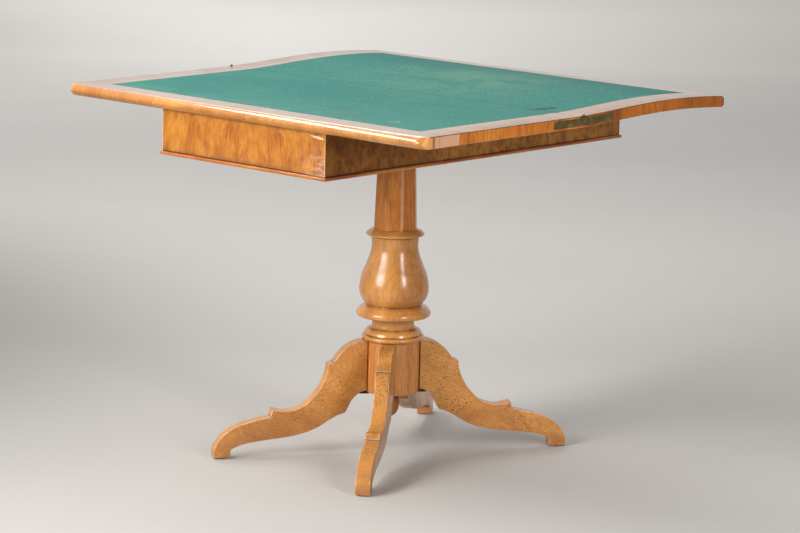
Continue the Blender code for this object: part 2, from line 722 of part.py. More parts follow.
def make_swivel(leaf):
    """Plate, bolt, washer, nut and stop peg, with their seats in the main leaf."""
    top = pivot_plate_top()
    bottom = top - PIVOT_PLATE_THICKNESS
    half_x = PIVOT_PLATE_LENGTH / 2
    half_y = PIVOT_PLATE_WIDTH / 2
    plate = add_box("pivot_plate", IRON, (PIVOT.x - half_x, PIVOT.y - half_y, bottom),
                    (PIVOT.x + half_x, PIVOT.y + half_y, top))
    pocket = add_box(
        "pivot_pocket", IRON, (PIVOT.x - half_x - GAP, PIVOT.y - half_y - GAP, LEAF_BOTTOM - OVERRUN),
        (PIVOT.x + half_x + GAP, PIVOT.y + half_y + GAP, top + GAP),
    )
    cut(plate, pivot_cylinder("pivot_plate_hole", IRON, BOLT_RADIUS + GAP,
                              bottom - OVERRUN, top + OVERRUN))
    head_bottom = top + GAP
    cut(leaf, pocket, pivot_cylinder(
        "bolt_head_pocket", IRON, BOLT_HEAD_RADIUS + GAP, top, head_bottom + BOLT_HEAD_HEIGHT + GAP))
    washer_top = RAIL_TOP - PIVOT_RAIL_THICKNESS - GAP
    washer_bottom = washer_top - WASHER_THICKNESS
    nut_top = washer_bottom - GAP
    nut_bottom = nut_top - NUT_HEIGHT
    bolt = pivot_cylinder("pivot_bolt", IRON, BOLT_RADIUS, nut_bottom - BOLT_TAIL, top + GAP * 2)
    join(bolt, pivot_cylinder("pivot_bolt_head", IRON, BOLT_HEAD_RADIUS, head_bottom,
                              head_bottom + BOLT_HEAD_HEIGHT, 6))
    bore = BOLT_RADIUS + GAP
    washer = pivot_cylinder("pivot_washer", IRON, WASHER_RADIUS, washer_bottom, washer_top, ROUND_STEPS)
    cut(washer, pivot_cylinder("washer_bore", IRON, bore, washer_bottom - OVERRUN, washer_top + OVERRUN))
    nut = pivot_cylinder("pivot_nut", IRON, NUT_RADIUS, nut_bottom, nut_top, 6)
    cut(nut, pivot_cylinder("nut_bore", IRON, bore, nut_bottom - OVERRUN, nut_top + OVERRUN))
    pieces = [plate, bolt, washer, nut, make_stop_peg(leaf)]
    for number, side in enumerate((-1, 1), start=1):
        seat = (PIVOT.x + side * PIVOT_SCREW_PLACE, PIVOT.y, bottom)
        cut(plate, screw_hole(f"pivot_plate_hole_{number}", seat, (0, 0, 1)))
        cut(leaf, screw_hole(f"pivot_leaf_hole_{number}", seat, (0, 0, 1)))
        pieces.append(add_screw(f"pivot_plate_screw_{number}", seat, (0, 0, 1)))
    return pieces


def make_stop_peg(leaf):
    """Peg under the main leaf that meets the pivot rail at both ends of a quarter turn."""
    x = PIVOT.x + STOP_PEG_OFFSET
    y = PIVOT.y + STOP_PEG_OFFSET
    socket_top = LEAF_BOTTOM + crown(x) + STOP_PEG_SOCKET
    peg = add_cylinder("stop_peg", TURNED_WOOD, STOP_PEG_RADIUS,
                       (x, y, RAIL_TOP - STOP_PEG_DROP), (x, y, socket_top - GAP))
    cut(leaf, add_cylinder("stop_peg_socket", IRON, STOP_PEG_RADIUS + GAP,
                           (x, y, LEAF_BOTTOM - OVERRUN), (x, y, socket_top)))
    return peg


def make_leaf(name, bow):
    """Leaf of the top with rounded arrises and a recess for its baize, beside the fold at X = 0."""
    leaf = leaf_slab(name, VENEER, (GAP / 2, LEAF_WIDTH), (0.0, LEAF_THICKNESS), LEAF_LENGTH, bow,
                     nose=NOSE_ROUND)
    weigh_edges(leaf, lambda edge: edge.calc_face_angle(0.0) > math.radians(40)
                and any(vert.co.x > GAP for vert in edge.verts))
    add_bevel(leaf, LEAF_ARRIS, 1, by_weight=True)
    cut(leaf, corner_cutter(name + "_near_corner", -1), corner_cutter(name + "_far_corner", 1))
    recess_end = LEAF_WIDTH - BORDER_WIDTH
    cut(leaf, leaf_slab(name + "_recess", BAIZE, (-OVERRUN, recess_end), (-OVERRUN, BAIZE_RECESS),
                        LEAF_LENGTH - 2 * BORDER_WIDTH, bow))
    return leaf


def make_baize(name, bow):
    """Baize in the recess of a leaf, level with it."""
    return leaf_slab(
        name, BAIZE, (GAP / 2, LEAF_WIDTH - BORDER_WIDTH - GAP),
        (BAIZE_RECESS - GAP - BAIZE_THICKNESS, BAIZE_RECESS - GAP),
        LEAF_LENGTH - 2 * (BORDER_WIDTH + GAP), bow,
    )


def end_slab(name, side, span, depths, layer, bow, steps=STRAP_STEPS):
    """Slab in the end of a leaf, between two depths from the end face."""
    near, far = layer
    piece = leaf_slab(name, BRASS, span, depths, far - near, bow, steps)
    piece.location.y = side * (LEAF_END - (near + far) / 2)
    return piece


def fold_cylinder(name, side, radius, layer):
    """Cylinder on the fold axis, between two depths from the end face of the leaves."""
    near, far = layer
    return add_cylinder(name, BRASS, radius,
                        (0, side * (LEAF_END - far), FOLD_AXIS_HEIGHT),
                        (0, side * (LEAF_END - near), FOLD_AXIS_HEIGHT), SMALL_STEPS)


def make_strap(name, side, bow, eye_layer, relief_layer):
    """Half of an edge hinge on the main leaf's side of the fold: strap, tongue and eye."""
    middle = LEAF_THICKNESS / 2
    depths = (middle - STRAP_HEIGHT / 2, middle + STRAP_HEIGHT / 2)
    whole = (0.0, STRAP_THICKNESS)
    strap = end_slab(name, side, (GAP, STRAP_LENGTH), depths, whole, bow)
    tongue = end_slab(name + "_tongue", side, (GAP, STRAP_TONGUE), (GAP, middle), whole, bow)
    join(strap, tongue)
    cut(strap, fold_cylinder(name + "_relief", side, EYE_RADIUS + GAP, relief_layer))
    join(strap, fold_cylinder(name + "_eye", side, EYE_RADIUS, eye_layer))
    cut(strap, fold_cylinder(name + "_bore", side, PIN_RADIUS + GAP, (-OVERRUN, 2 * STRAP_THICKNESS)))
    for number, share in enumerate(STRAP_SCREW_SHARES, start=1):
        cut(strap, screw_hole(f"{name}_hole_{number}", strap_screw_seat(share, side, bow), (0, -side, 0)))
    return strap


def strap_screw_seat(share, side, bow):
    """Place of a strap's screw on the end face of its leaf."""
    x = share * STRAP_LENGTH
    return Vector((x, side * LEAF_END, TOP_SURFACE + bow(x) - LEAF_THICKNESS / 2))


def mortise(name, side, bow):
    """Cutters for a strap, its tongue and the eyes in the end of a leaf."""
    middle = LEAF_THICKNESS / 2
    layer = (-OVERRUN, STRAP_THICKNESS + GAP)
    edges = (middle - STRAP_HEIGHT / 2 - GAP, middle + STRAP_HEIGHT / 2 + GAP)
    return [
        end_slab(name + "_bed", side, (-OVERRUN, STRAP_LENGTH + GAP), edges, layer, bow),
        end_slab(name + "_throat", side, (-OVERRUN, STRAP_TONGUE + GAP), (-OVERRUN, middle), layer, bow),
        fold_cylinder(name + "_eye_room", side, EYE_RADIUS + 2 * GAP, layer),
    ]


def make_hinge(end_name, side, main_leaf, flap_leaf):
    """One edge hinge: two straps, their pin and four screws, let into the ends of the leaves."""
    inner_start = STRAP_THICKNESS - STRAP_LAYER
    prefix = f"hinge_{end_name}"
    main_strap = make_strap(f"{prefix}_main_strap", side, crown, (EYE_INSET, STRAP_LAYER),
                            (inner_start, STRAP_THICKNESS + OVERRUN))
    flap_strap = make_strap(f"{prefix}_flap_strap", side, flat,
                            (inner_start, STRAP_THICKNESS - EYE_INSET), (-OVERRUN, STRAP_LAYER))
    pin = fold_cylinder(f"{prefix}_pin", side, PIN_RADIUS, (0.0, STRAP_THICKNESS))
    cut(main_leaf, *mortise(f"{prefix}_main_mortise", side, crown))
    cut(flap_leaf, *mortise(f"{prefix}_flap_mortise", side, flat))
    main_pieces = [main_strap, pin]
    flap_pieces = [flap_strap]
    for number, share in enumerate(STRAP_SCREW_SHARES, start=1):
        for leaf, bow, pieces, half in ((main_leaf, crown, main_pieces, "main"),
                                        (flap_leaf, flat, flap_pieces, "flap")):
            seat = strap_screw_seat(share, side, bow)
            name = f"{prefix}_{half}_screw_{number}"
            cut(leaf, screw_hole(name + "_hole", seat, (0, -side, 0)))
            pieces.append(add_screw(name, seat, (0, -side, 0)))
    return main_pieces, flap_pieces


def flip_assembly(pieces):
    """Reflect flap pieces, and every cutter that they use, to the flap's side of the fold."""
    done = set()
    waiting = list(pieces)
    while waiting:
        piece = waiting.pop()
        if piece.name in done:
            continue
        done.add(piece.name)
        waiting += [modifier.object for modifier in piece.modifiers if modifier.type == "BOOLEAN"]
        mirror_to_flap(piece)


def hang_on(empty_name, place, pieces, parent=None):
    """Parent pieces to an empty that stands on their joint's axis."""
    empty = bpy.data.objects.new(empty_name, None)
    COLLECTIONS["card_table"].objects.link(empty)
    empty.empty_display_size = LEAF_THICKNESS
    empty.location = place
    if parent is not None:
        empty.parent = parent
        empty.location = Vector(place) - parent.location
    for piece in pieces:
        piece.parent = empty
        piece.matrix_parent_inverse = Matrix.Translation(-Vector(place))
    return empty


def make_pedestal():
    """Everything between the floor and the box."""
    for name, angle in LEG_ANGLES.items():
        make_leg(name, angle)
        make_glide("glide_" + name.removeprefix("leg_"), angle)
    make_drum()
    make_leg_plate()
    make_drop()
    make_baluster()
    make_shaft()
    make_bearer()


def make_box():
    """Frieze, card well and pivot rail."""
    make_frieze()
    make_well()
    make_pivot_rail()


def make_top():
    """Both leaves with their baize, hinges and swivel, hung on their axes."""
    main_leaf = make_leaf("main_leaf", crown)
    flap_leaf = make_leaf("flap_leaf", flat)
    main_pieces = [main_leaf, make_baize("main_baize", crown)]
    flap_pieces = [flap_leaf, make_baize("flap_baize", flat)]
    for end_name, side in (("near", -1), ("far", 1)):
        main_extra, flap_extra = make_hinge(end_name, side, main_leaf, flap_leaf)
        main_pieces += main_extra
        flap_pieces += flap_extra
    main_pieces += make_swivel(main_leaf)
    flip_assembly(flap_pieces)
    swivel = hang_on("swivel_axis", (PIVOT.x, PIVOT.y, LEAF_BOTTOM), main_pieces)
    hang_on("fold_axis", (0.0, 0.0, FOLD_AXIS_HEIGHT), flap_pieces, swivel)


def shade_round_pieces():
    """Shade the table's pieces smooth and keep their hard edges."""
    for piece in COLLECTIONS["card_table"].objects:
        if piece.type == "MESH" and piece.data.polygons:
            piece.data.shade_smooth()
            piece.data.set_sharp_from_angle(angle=math.radians(30))


make_pedestal()
make_box()
make_top()
shade_round_pieces()
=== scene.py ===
"""Finished look of the fold over card table: fine shapes, finishes, studio and camera.

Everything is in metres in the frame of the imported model. X runs along the long side of the box, Y
along the fold of the top and Z up, with the origin on the floor under the column.
"""

import logging
import math
from dataclasses import dataclass
from enum import Enum
from typing import Callable, Iterable, Sequence

import bmesh
import bpy
from mathutils import Matrix, Vector

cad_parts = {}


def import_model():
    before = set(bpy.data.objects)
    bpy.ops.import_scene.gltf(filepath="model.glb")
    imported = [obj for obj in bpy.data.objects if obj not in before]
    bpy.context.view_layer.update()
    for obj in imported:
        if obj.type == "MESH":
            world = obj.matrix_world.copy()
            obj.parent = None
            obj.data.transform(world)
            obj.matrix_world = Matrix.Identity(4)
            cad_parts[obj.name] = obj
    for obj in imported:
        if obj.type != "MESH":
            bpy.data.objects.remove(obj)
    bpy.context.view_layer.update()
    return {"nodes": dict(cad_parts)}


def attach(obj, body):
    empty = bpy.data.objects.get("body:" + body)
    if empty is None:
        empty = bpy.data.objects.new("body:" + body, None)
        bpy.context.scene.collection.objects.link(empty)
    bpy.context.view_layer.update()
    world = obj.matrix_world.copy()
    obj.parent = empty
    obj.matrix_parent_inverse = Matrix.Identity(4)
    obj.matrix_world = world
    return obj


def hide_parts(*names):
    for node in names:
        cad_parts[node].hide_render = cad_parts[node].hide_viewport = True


LOG = logging.getLogger("card_table")

Colour = tuple[float, float, float]
Point = tuple[float, float, float]
Profile = list[tuple[float, float]]
Socket = bpy.types.NodeSocket
Mesh = bmesh.types.BMesh
Piece = bpy.types.Object

# Clearance between pieces, the size under which points are one, and the faces across a small
# and a large rounded edge.
GAP = 0.0003
TINY = 0.00001
SMALL_ROUND = 3
LARGE_ROUND = 5


class Body(Enum):
    """Rigid bodies of the table that a piece can ride on."""

    BASE = "base"
    MAIN = "main"
    FLAP = "flap"


class Slot(Enum):
    """Material slots of the record, named when each finished piece is made."""

    VENEER = "veneer"
    TURNED = "turned_wood"
    BAIZE = "baize"
    BRASS = "brass"


class Grain(Enum):
    """Turn about each axis that lays a wood pattern's grain, which runs along its own Z."""

    UP = (0.0, 0.0, 0.0)
    ALONG_X = (0.0, math.pi / 2, 0.0)
    ALONG_Y = (math.pi / 2, 0.0, 0.0)


class Half(Enum):
    """Half of the top, with the way that it lies from the fold along X."""

    MAIN = 1
    FLAP = -1


def smooth_through(points: Sequence[tuple[float, ...]], steps: int) -> list[tuple[float, ...]]:
    """Return points of a smooth curve through the given ones.

    Args:
        points: Points to pass through, of any number of coordinates.
        steps: Number of points for each stretch between two given points.

    Returns:
        The points of the curve, with the first and the last one kept.
    """
    padded = [points[0], *points, points[-1]]
    curve = []
    for before, start, end, after in zip(padded, padded[1:], padded[2:], padded[3:]):
        for t in (step / steps for step in range(steps)):
            curve.append(tuple(
                0.5 * (2 * b + (c - a) * t + (2 * a - 5 * b + 4 * c - d) * t * t
                       + (3 * b - a - 3 * c + d) * t ** 3)
                for a, b, c, d in zip(before, start, end, after)))
    return [*curve, tuple(points[-1])]


class NodeBoard:
    """Drawing board for the nodes of one material or world."""

    def __init__(self, owner: bpy.types.ID) -> None:
        """Start with the nodes that the owner has."""
        owner.use_nodes = True
        self.tree = owner.node_tree

    def node(self, kind: str, **values: object) -> bpy.types.Node:
        """Add a node and set its inputs or its own settings.

        Args:
            kind: Type of the node, without the prefix that all have.
            **values: Value or socket for each input or setting, with _ for a space in a name.

        Returns:
            The new node.
        """
        made = self.tree.nodes.new("ShaderNode" + kind)
        for name, value in values.items():
            if name in made.bl_rna.properties:
                setattr(made, name, value)
            else:
                self.feed(made.inputs[name.replace("_", " ")], value)
        return made

    def feed(self, socket: Socket, value: object) -> None:
        """Link a socket to an input, or set the input to a plain value.

        Args:
            socket: Input that takes the value.
            value: Output socket, number, vector or colour.
        """
        if isinstance(value, Socket):
            self.tree.links.new(value, socket)
        elif socket.type == "RGBA":
            socket.default_value = (*tuple(value)[:3], 1.0)
        else:
            socket.default_value = value

    def maths(self, operation: str, *values: object, kind: str = "Math") -> Socket:
        """Do a sum on numbers or vectors.

        Args:
            operation: Name of the sum.
            *values: Plain value or socket for each input.
            kind: Type of node, which is another one for vectors.

        Returns:
            The result.
        """
        made = self.node(kind, operation=operation)
        for socket, value in zip(made.inputs, values):
            self.feed(socket, value)
        return made.outputs["Value" if operation in ("DISTANCE", "DOT_PRODUCT") else 0]


class NodeSheet(NodeBoard):
    """Board for one material, with the colour laid on it so far."""

    def __init__(self, name: str, colour: object = None) -> None:
        """Start a material with only its shader and a first colour.

        Args:
            name: Name of the material.
            colour: First colour; a ramp can give it later.
        """
        self.material = bpy.data.materials.new(name)
        super().__init__(self.material)
        self.shader = self.tree.nodes["Principled BSDF"]
        self.place = self.node("TexCoord").outputs["Object"]
        self.colour = colour

    def all_of(self, *masks: object) -> Socket:
        """Multiply some masks.

        Args:
            *masks: Numbers or sockets from 0 to 1.

        Returns:
            Their product.
        """
        total = masks[0]
        for mask in masks[1:]:
            total = self.maths("MULTIPLY", total, mask)
        return total

    def tally(self, *parts: tuple[float, object]) -> Socket:
        """Add up values that each pull away from one half.

        Args:
            *parts: Share and value of each.

        Returns:
            One half plus each value's distance from one half times its share.
        """
        total = 0.5 - sum(share for share, _ in parts) / 2
        for share, value in parts:
            total = self.maths("MULTIPLY_ADD", value, share, total)
        return total

    def stain(self, tone: Colour, *masks: object, mode: str = "MIX") -> None:
        """Lay a tone over the colour.

        Args:
            tone: Colour that is laid.
            *masks: Numbers or sockets that together say how much of it.
            mode: Blend mode.
        """
        made = self.node("Mix", data_type="RGBA", blend_type=mode)
        for number, value in ((0, self.all_of(*masks)), (6, self.colour), (7, tone)):
            self.feed(made.inputs[number], value)
        self.colour = made.outputs[2]

    def ramp(self, share: object, stops: Iterable[tuple[float, Colour]]) -> None:
        """Start the colour again from a row of stops.

        Args:
            share: Place on the row, from 0 to 1.
            stops: Place and colour of each stop.
        """
        made = self.node("ValToRGB", Fac=share)
        elements = made.color_ramp.elements
        for number, (place, colour) in enumerate(stops):
            element = elements[number] if number < 2 else elements.new(place)
            element.position = place
            element.color = (*colour, 1.0)
        self.colour = made.outputs[0]

    def between(self, value: object, low: float, high: float, to_low: float = 0.0,
                to_high: float = 1.0) -> Socket:
        """Return a value mapped smoothly from one range to another and held at its ends."""
        return self.node("MapRange", interpolation_type="SMOOTHSTEP", Value=value,
                         From_Min=low, From_Max=high, To_Min=to_low, To_Max=to_high).outputs[0]

    def laid(self, start: object = None, turn: Point = (0.0, 0.0, 0.0),
             shift: Point = (0.0, 0.0, 0.0), scale: Point = (1.0, 1.0, 1.0)) -> Socket:
        """Return coordinates moved, turned and scaled by a Mapping node."""
        return self.node("Mapping", Vector=start or self.place, Location=shift,
                         Rotation=turn, Scale=scale).outputs[0]

    def drawn_out(self, length: float, start: object = None, across: float = 1.0) -> Socket:
        """Return coordinates with a share of the scale along Z, and across it, for long marks."""
        return self.laid(start, scale=(across, across, length))

    def noise(self, scale: float, detail: float = 2.0, rough: float = 0.5, bend: float = 0.0,
              low: float = 0.32, high: float = 0.68, where: object = None) -> Socket:
        """Make a noise that is spread over 0 to 1 from its usual range.

        Args:
            scale: How many lumps there are to a metre, about.
            detail: Number of finer layers.
            rough: Strength of the finer layers.
            bend: How far the lumps are pulled about.
            low: Value that becomes 0.
            high: Value that becomes 1.
            where: Coordinates, the object's own unless others are given.

        Returns:
            The noise.
        """
        made = self.node("TexNoise", Vector=where or self.place, Scale=scale,
                         Detail=detail, Roughness=rough, Distortion=bend)
        return self.between(made.outputs[0], low, high)

    def axis(self, which: str, where: object = None) -> Socket:
        """Return one coordinate of a place, the object's own unless another is given."""
        return self.node("SeparateXYZ", Vector=where or self.place).outputs[which]

    def line(self, value: object, centre: object, half_width: float) -> Socket:
        """Return 1 on a thin line at a value and 0 away from it."""
        away = self.maths("ABSOLUTE", self.maths("SUBTRACT", value, centre))
        return self.between(away, half_width, half_width * 0.3)

    def spot(self, centre: Point, radius: float, core: float = 0.6,
             where: object = None) -> Socket:
        """Return 1 inside the core of a ball, given as a share of its radius, and 0 outside it."""
        away = self.maths("DISTANCE", where or self.place, centre, kind="VectorMath")
        return self.between(away, radius, radius * core)

    def warped(self, where: object, scale: float, amount: float) -> Socket:
        """Push coordinates about by a soft noise.

        Args:
            where: Coordinates that are pushed.
            scale: Lumps of the noise to a metre, about.
            amount: How far they are pushed.

        Returns:
            The pushed coordinates.
        """
        made = self.node("TexNoise", Vector=where, Scale=scale, Detail=2.0)
        return self.maths("MULTIPLY_ADD", made.outputs["Color"], (amount,) * 3, where,
                          kind="VectorMath")

    def blocks(self, along: object, pitch: float) -> tuple[Socket, Socket]:
        """Divide a length into a row of unequal blocks.

        Args:
            along: Distance along the row.
            pitch: Usual length of a block.

        Returns:
            The tone of each block, and a mask of the joints between them.
        """
        cell, edge = (self.node("TexVoronoi", voronoi_dimensions="1D", W=along,
                                feature=feature, Scale=1 / pitch, Randomness=0.8)
                      for feature in ("F1", "DISTANCE_TO_EDGE"))
        return (self.axis("X", cell.outputs["Color"]),
                self.between(edge.outputs["Distance"], 0.0006 / pitch, 0.0002 / pitch))

    def finish(self, roughness: object, height: object = None, relief: float = 0.0002,
               **sockets: object) -> bpy.types.Material:
        """Wire the colour, roughness and relief to the shader.

        Args:
            roughness: Roughness, or the socket that gives it.
            height: Socket with the surface's height from 0 to 1.
            relief: Depth of that height in metres.
            **sockets: Value for each further input of the shader, with _ for a space.

        Returns:
            The finished material.
        """
        if height is not None:
            sockets["Normal"] = self.node("Bump", Height=height, Strength=1.0,
                                          Distance=relief).outputs[0]
        for name, value in {"Base_Color": self.colour, "Roughness": roughness, **sockets}.items():
            self.feed(self.shader.inputs[name.replace("_", " ")], value)
        return self.material


@dataclass(frozen=True)
class Wood:
    """Polished wood with clouds, growth rings, streaks, pores and specks.

    Its own grain runs along Z, so the Mapping node turns it to lie along the piece.
    """

    name: str
    tones: tuple[Colour, ...] = (
        (0.235, 0.08, 0.017), (0.42, 0.172, 0.038), (0.55, 0.245, 0.06), (0.67, 0.33, 0.108))
    turn: Point = Grain.UP.value
    heart: Point = (-0.031, -0.095, 0.0)
    clouds: float = 0.45
    cloud_size: float = 0.07
    cloud_stretch: float = 0.35
    rings: float = 0.16
    ring_pitch: float = 0.0065
    streaks: float = 0.2
    pores: float = 0.45
    specks: float = 0.0
    warp: float = 0.03
    gloss: float = 1.0
    polish: float = 0.1
    roughness: float = 0.42
    relief: float = 0.00005

    def dress(self) -> bpy.types.Material:
        """Make the material.

        Returns:
            The finished material.
        """
        sheet = NodeSheet(self.name)
        where = self.lay(sheet)
        fibre = self.figure(sheet, where)
        self.pore(sheet, where)
        rough = sheet.maths("MULTIPLY_ADD", self.age(sheet), 0.25, self.roughness)
        return sheet.finish(rough, fibre, self.relief, Coat_Weight=self.gloss,
                            Coat_Roughness=self.polish, Specular_IOR_Level=0.15)

    def lay(self, sheet: NodeSheet) -> Socket:
        """Return the coordinates with the grain along Z and the heart of the tree moved off."""
        return sheet.laid(sheet.laid(turn=self.turn), shift=self.heart)

    def figure(self, sheet: NodeSheet, where: Socket) -> Socket:
        """Lay on the colour of the wood's figure.

        Args:
            sheet: Board of the material.
            where: Coordinates with the grain along Z.

        Returns:
            The height of the fibre.
        """
        bent = sheet.warped(where, 6.0, self.warp)
        rings = sheet.node("TexWave", wave_type="RINGS", rings_direction="Z",
                           wave_profile="SAW", Vector=sheet.drawn_out(0.1, bent),
                           Scale=0.314 / self.ring_pitch, Distortion=1.2, Detail=2.0).outputs[1]
        late = sheet.between(rings, 0.55, 1.0, 1.0, 0.0)
        cloud = sheet.noise(1.0 / self.cloud_size, 5.0, 0.55, 0.8,
                            where=sheet.drawn_out(self.cloud_stretch, bent))
        streak = sheet.noise(260.0, 4.0, 0.65, where=sheet.drawn_out(0.04, bent))
        tone = sheet.tally((self.clouds, cloud), (self.rings, late), (self.streaks, streak))
        sheet.ramp(tone, zip((0.05, 0.38, 0.64, 0.95), self.tones))
        return streak

    def pore(self, sheet: NodeSheet, where: Socket) -> None:
        """Add short dark pores along the grain and scattered specks.

        Args:
            sheet: Board of the material.
            where: Coordinates with the grain along Z.
        """
        flecks = sheet.noise(950.0, 1.0, low=0.6, high=0.74, where=sheet.drawn_out(0.09, where))
        sheet.stain(self.tones[0], flecks, self.pores, mode="MULTIPLY")
        if self.specks:
            dots = sheet.noise(330.0, 1.0, low=0.61, high=0.69,
                               where=sheet.drawn_out(0.45, where))
            patch = sheet.noise(16.0, 2.0, low=0.38, high=0.58, where=where)
            sheet.stain((0.045, 0.018, 0.008), dots, patch, self.specks)

    def age(self, sheet: NodeSheet) -> Socket:
        """Add the piece's own marks, and return how dull its polish is."""
        return sheet.noise(35.0, 3.0, low=0.5, high=0.75)


@dataclass(frozen=True)
class TurnedWood(Wood):
    """Wood of a turned piece, with painted shade in its grooves and a few old worm holes."""

    grooves: tuple[float, ...] = ()
    holes: tuple[Point, ...] = ()

    def age(self, sheet: NodeSheet) -> Socket:
        """Add the painted shade in the grooves and the holes.

        Args:
            sheet: Board of the material.

        Returns:
            How dull the polish is.
        """
        height = sheet.axis("Z")
        # Painted shade: a dark, broken line along each of the grooves.
        for shaded_groove in self.grooves:
            sheet.stain((0.09, 0.032, 0.01), sheet.line(height, shaded_groove, 0.0022),
                        sheet.noise(90.0, low=0.25, high=0.6), 0.7)
        for hole in self.holes:
            sheet.stain((0.02, 0.01, 0.005), sheet.spot(hole, 0.0011))
        return super().age(sheet)


@dataclass(frozen=True)
class ShaftWood(Wood):
    """Wood of the eight sided shaft: worn ridges, a painted highlight and an old drying crack."""

    ridge_turn: float = math.radians(14.5)
    ridge_half_pitch: float = math.radians(22.5)
    # Bearing of the ridge with the painted highlight.
    highlit_ridge: float = math.radians(-120.5)
    crack_ridge: float = math.radians(-165.5)
    crack_lean: float = 1.6
    crack_bottom: float = 0.525
    crack_middle: float = 0.57

    def age(self, sheet: NodeSheet) -> Socket:
        """Add the worn ridges, the painted highlight and the crack.

        Args:
            sheet: Board of the material.

        Returns:
            How dull the polish is.
        """
        angle = sheet.maths("ARCTAN2", sheet.axis("Y"), sheet.axis("X"))
        height = sheet.axis("Z")
        off = sheet.maths("PINGPONG", sheet.maths("SUBTRACT", angle, self.ridge_turn),
                          self.ridge_half_pitch)
        worn = sheet.all_of(sheet.between(off, 0.04, 0.005),
                            sheet.noise(60.0, 3.0, low=0.35, high=0.6), 0.2)
        sheet.stain((0.5, 0.28, 0.12), worn)
        # Painted highlight: a pale, broken line along one ridge.
        sheet.stain((0.6, 0.46, 0.34), sheet.line(angle, self.highlit_ridge, 0.1),
                    sheet.noise(45.0, 3.0, low=0.2, high=0.55), 0.35)
        lean = sheet.maths("MULTIPLY_ADD", height, self.crack_lean,
                           self.crack_ridge - self.crack_lean * self.crack_middle)
        wander = sheet.maths("MULTIPLY_ADD", sheet.noise(60.0, where=height), 0.03, lean)
        sheet.stain((0.03, 0.012, 0.006), sheet.line(angle, wander, 0.022),
                    sheet.between(height, self.crack_bottom, self.crack_bottom + 0.02))
        return worn


@dataclass(frozen=True)
class LegWood(Wood):
    """Wood of a leg, with worn arrises and painted highlight and shade at its two steps."""

    angle: float = 0.0
    half_thickness: float = 0.0146
    arris: float = 0.0016
    scuff_height: float = 0.11
    # Reach and height of each step corner that has a painted highlight and painted shade.
    lit_and_shaded_steps: tuple[tuple[float, float], ...] = ((0.1261, 0.1922), (0.2541, 0.0841))

    def age(self, sheet: NodeSheet) -> Socket:
        """Add the wear, the painted highlight and shade at the steps, and the scuffs.

        Args:
            sheet: Board of the material.

        Returns:
            How dull the polish is.
        """
        along = sheet.laid(turn=(0.0, 0.0, -self.angle))
        aside = sheet.maths("ABSOLUTE", sheet.axis("Y", along))
        edge = self.half_thickness
        sheet.stain((0.8, 0.5, 0.24),
                    sheet.between(aside, edge - self.arris, edge - 0.6 * self.arris),
                    sheet.between(aside, edge, edge - 0.2 * self.arris),
                    sheet.noise(40.0, 3.0, low=0.3, high=0.6), 0.55)
        side_view = sheet.node("CombineXYZ", X=sheet.axis("X", along),
                               Z=sheet.axis("Z", along)).outputs[0]
        # At each step corner, a painted highlight and then painted shade in the corner itself.
        for reach, height in self.lit_and_shaded_steps:
            for tone, radius, core, depth in (((0.62, 0.52, 0.4), 0.0042, 0.5, 0.5),
                                              ((0.055, 0.022, 0.009), 0.0026, 0.3, 0.85)):
                sheet.stain(tone, sheet.spot((reach, 0.0, height), radius, core, side_view), depth)
        sheet.stain((0.3, 0.125, 0.05), sheet.between(sheet.axis("Z"), self.scuff_height, 0.0),
                    sheet.noise(55.0, 4.0, 0.6, low=0.3, high=0.62), 0.6)
        return super().age(sheet)


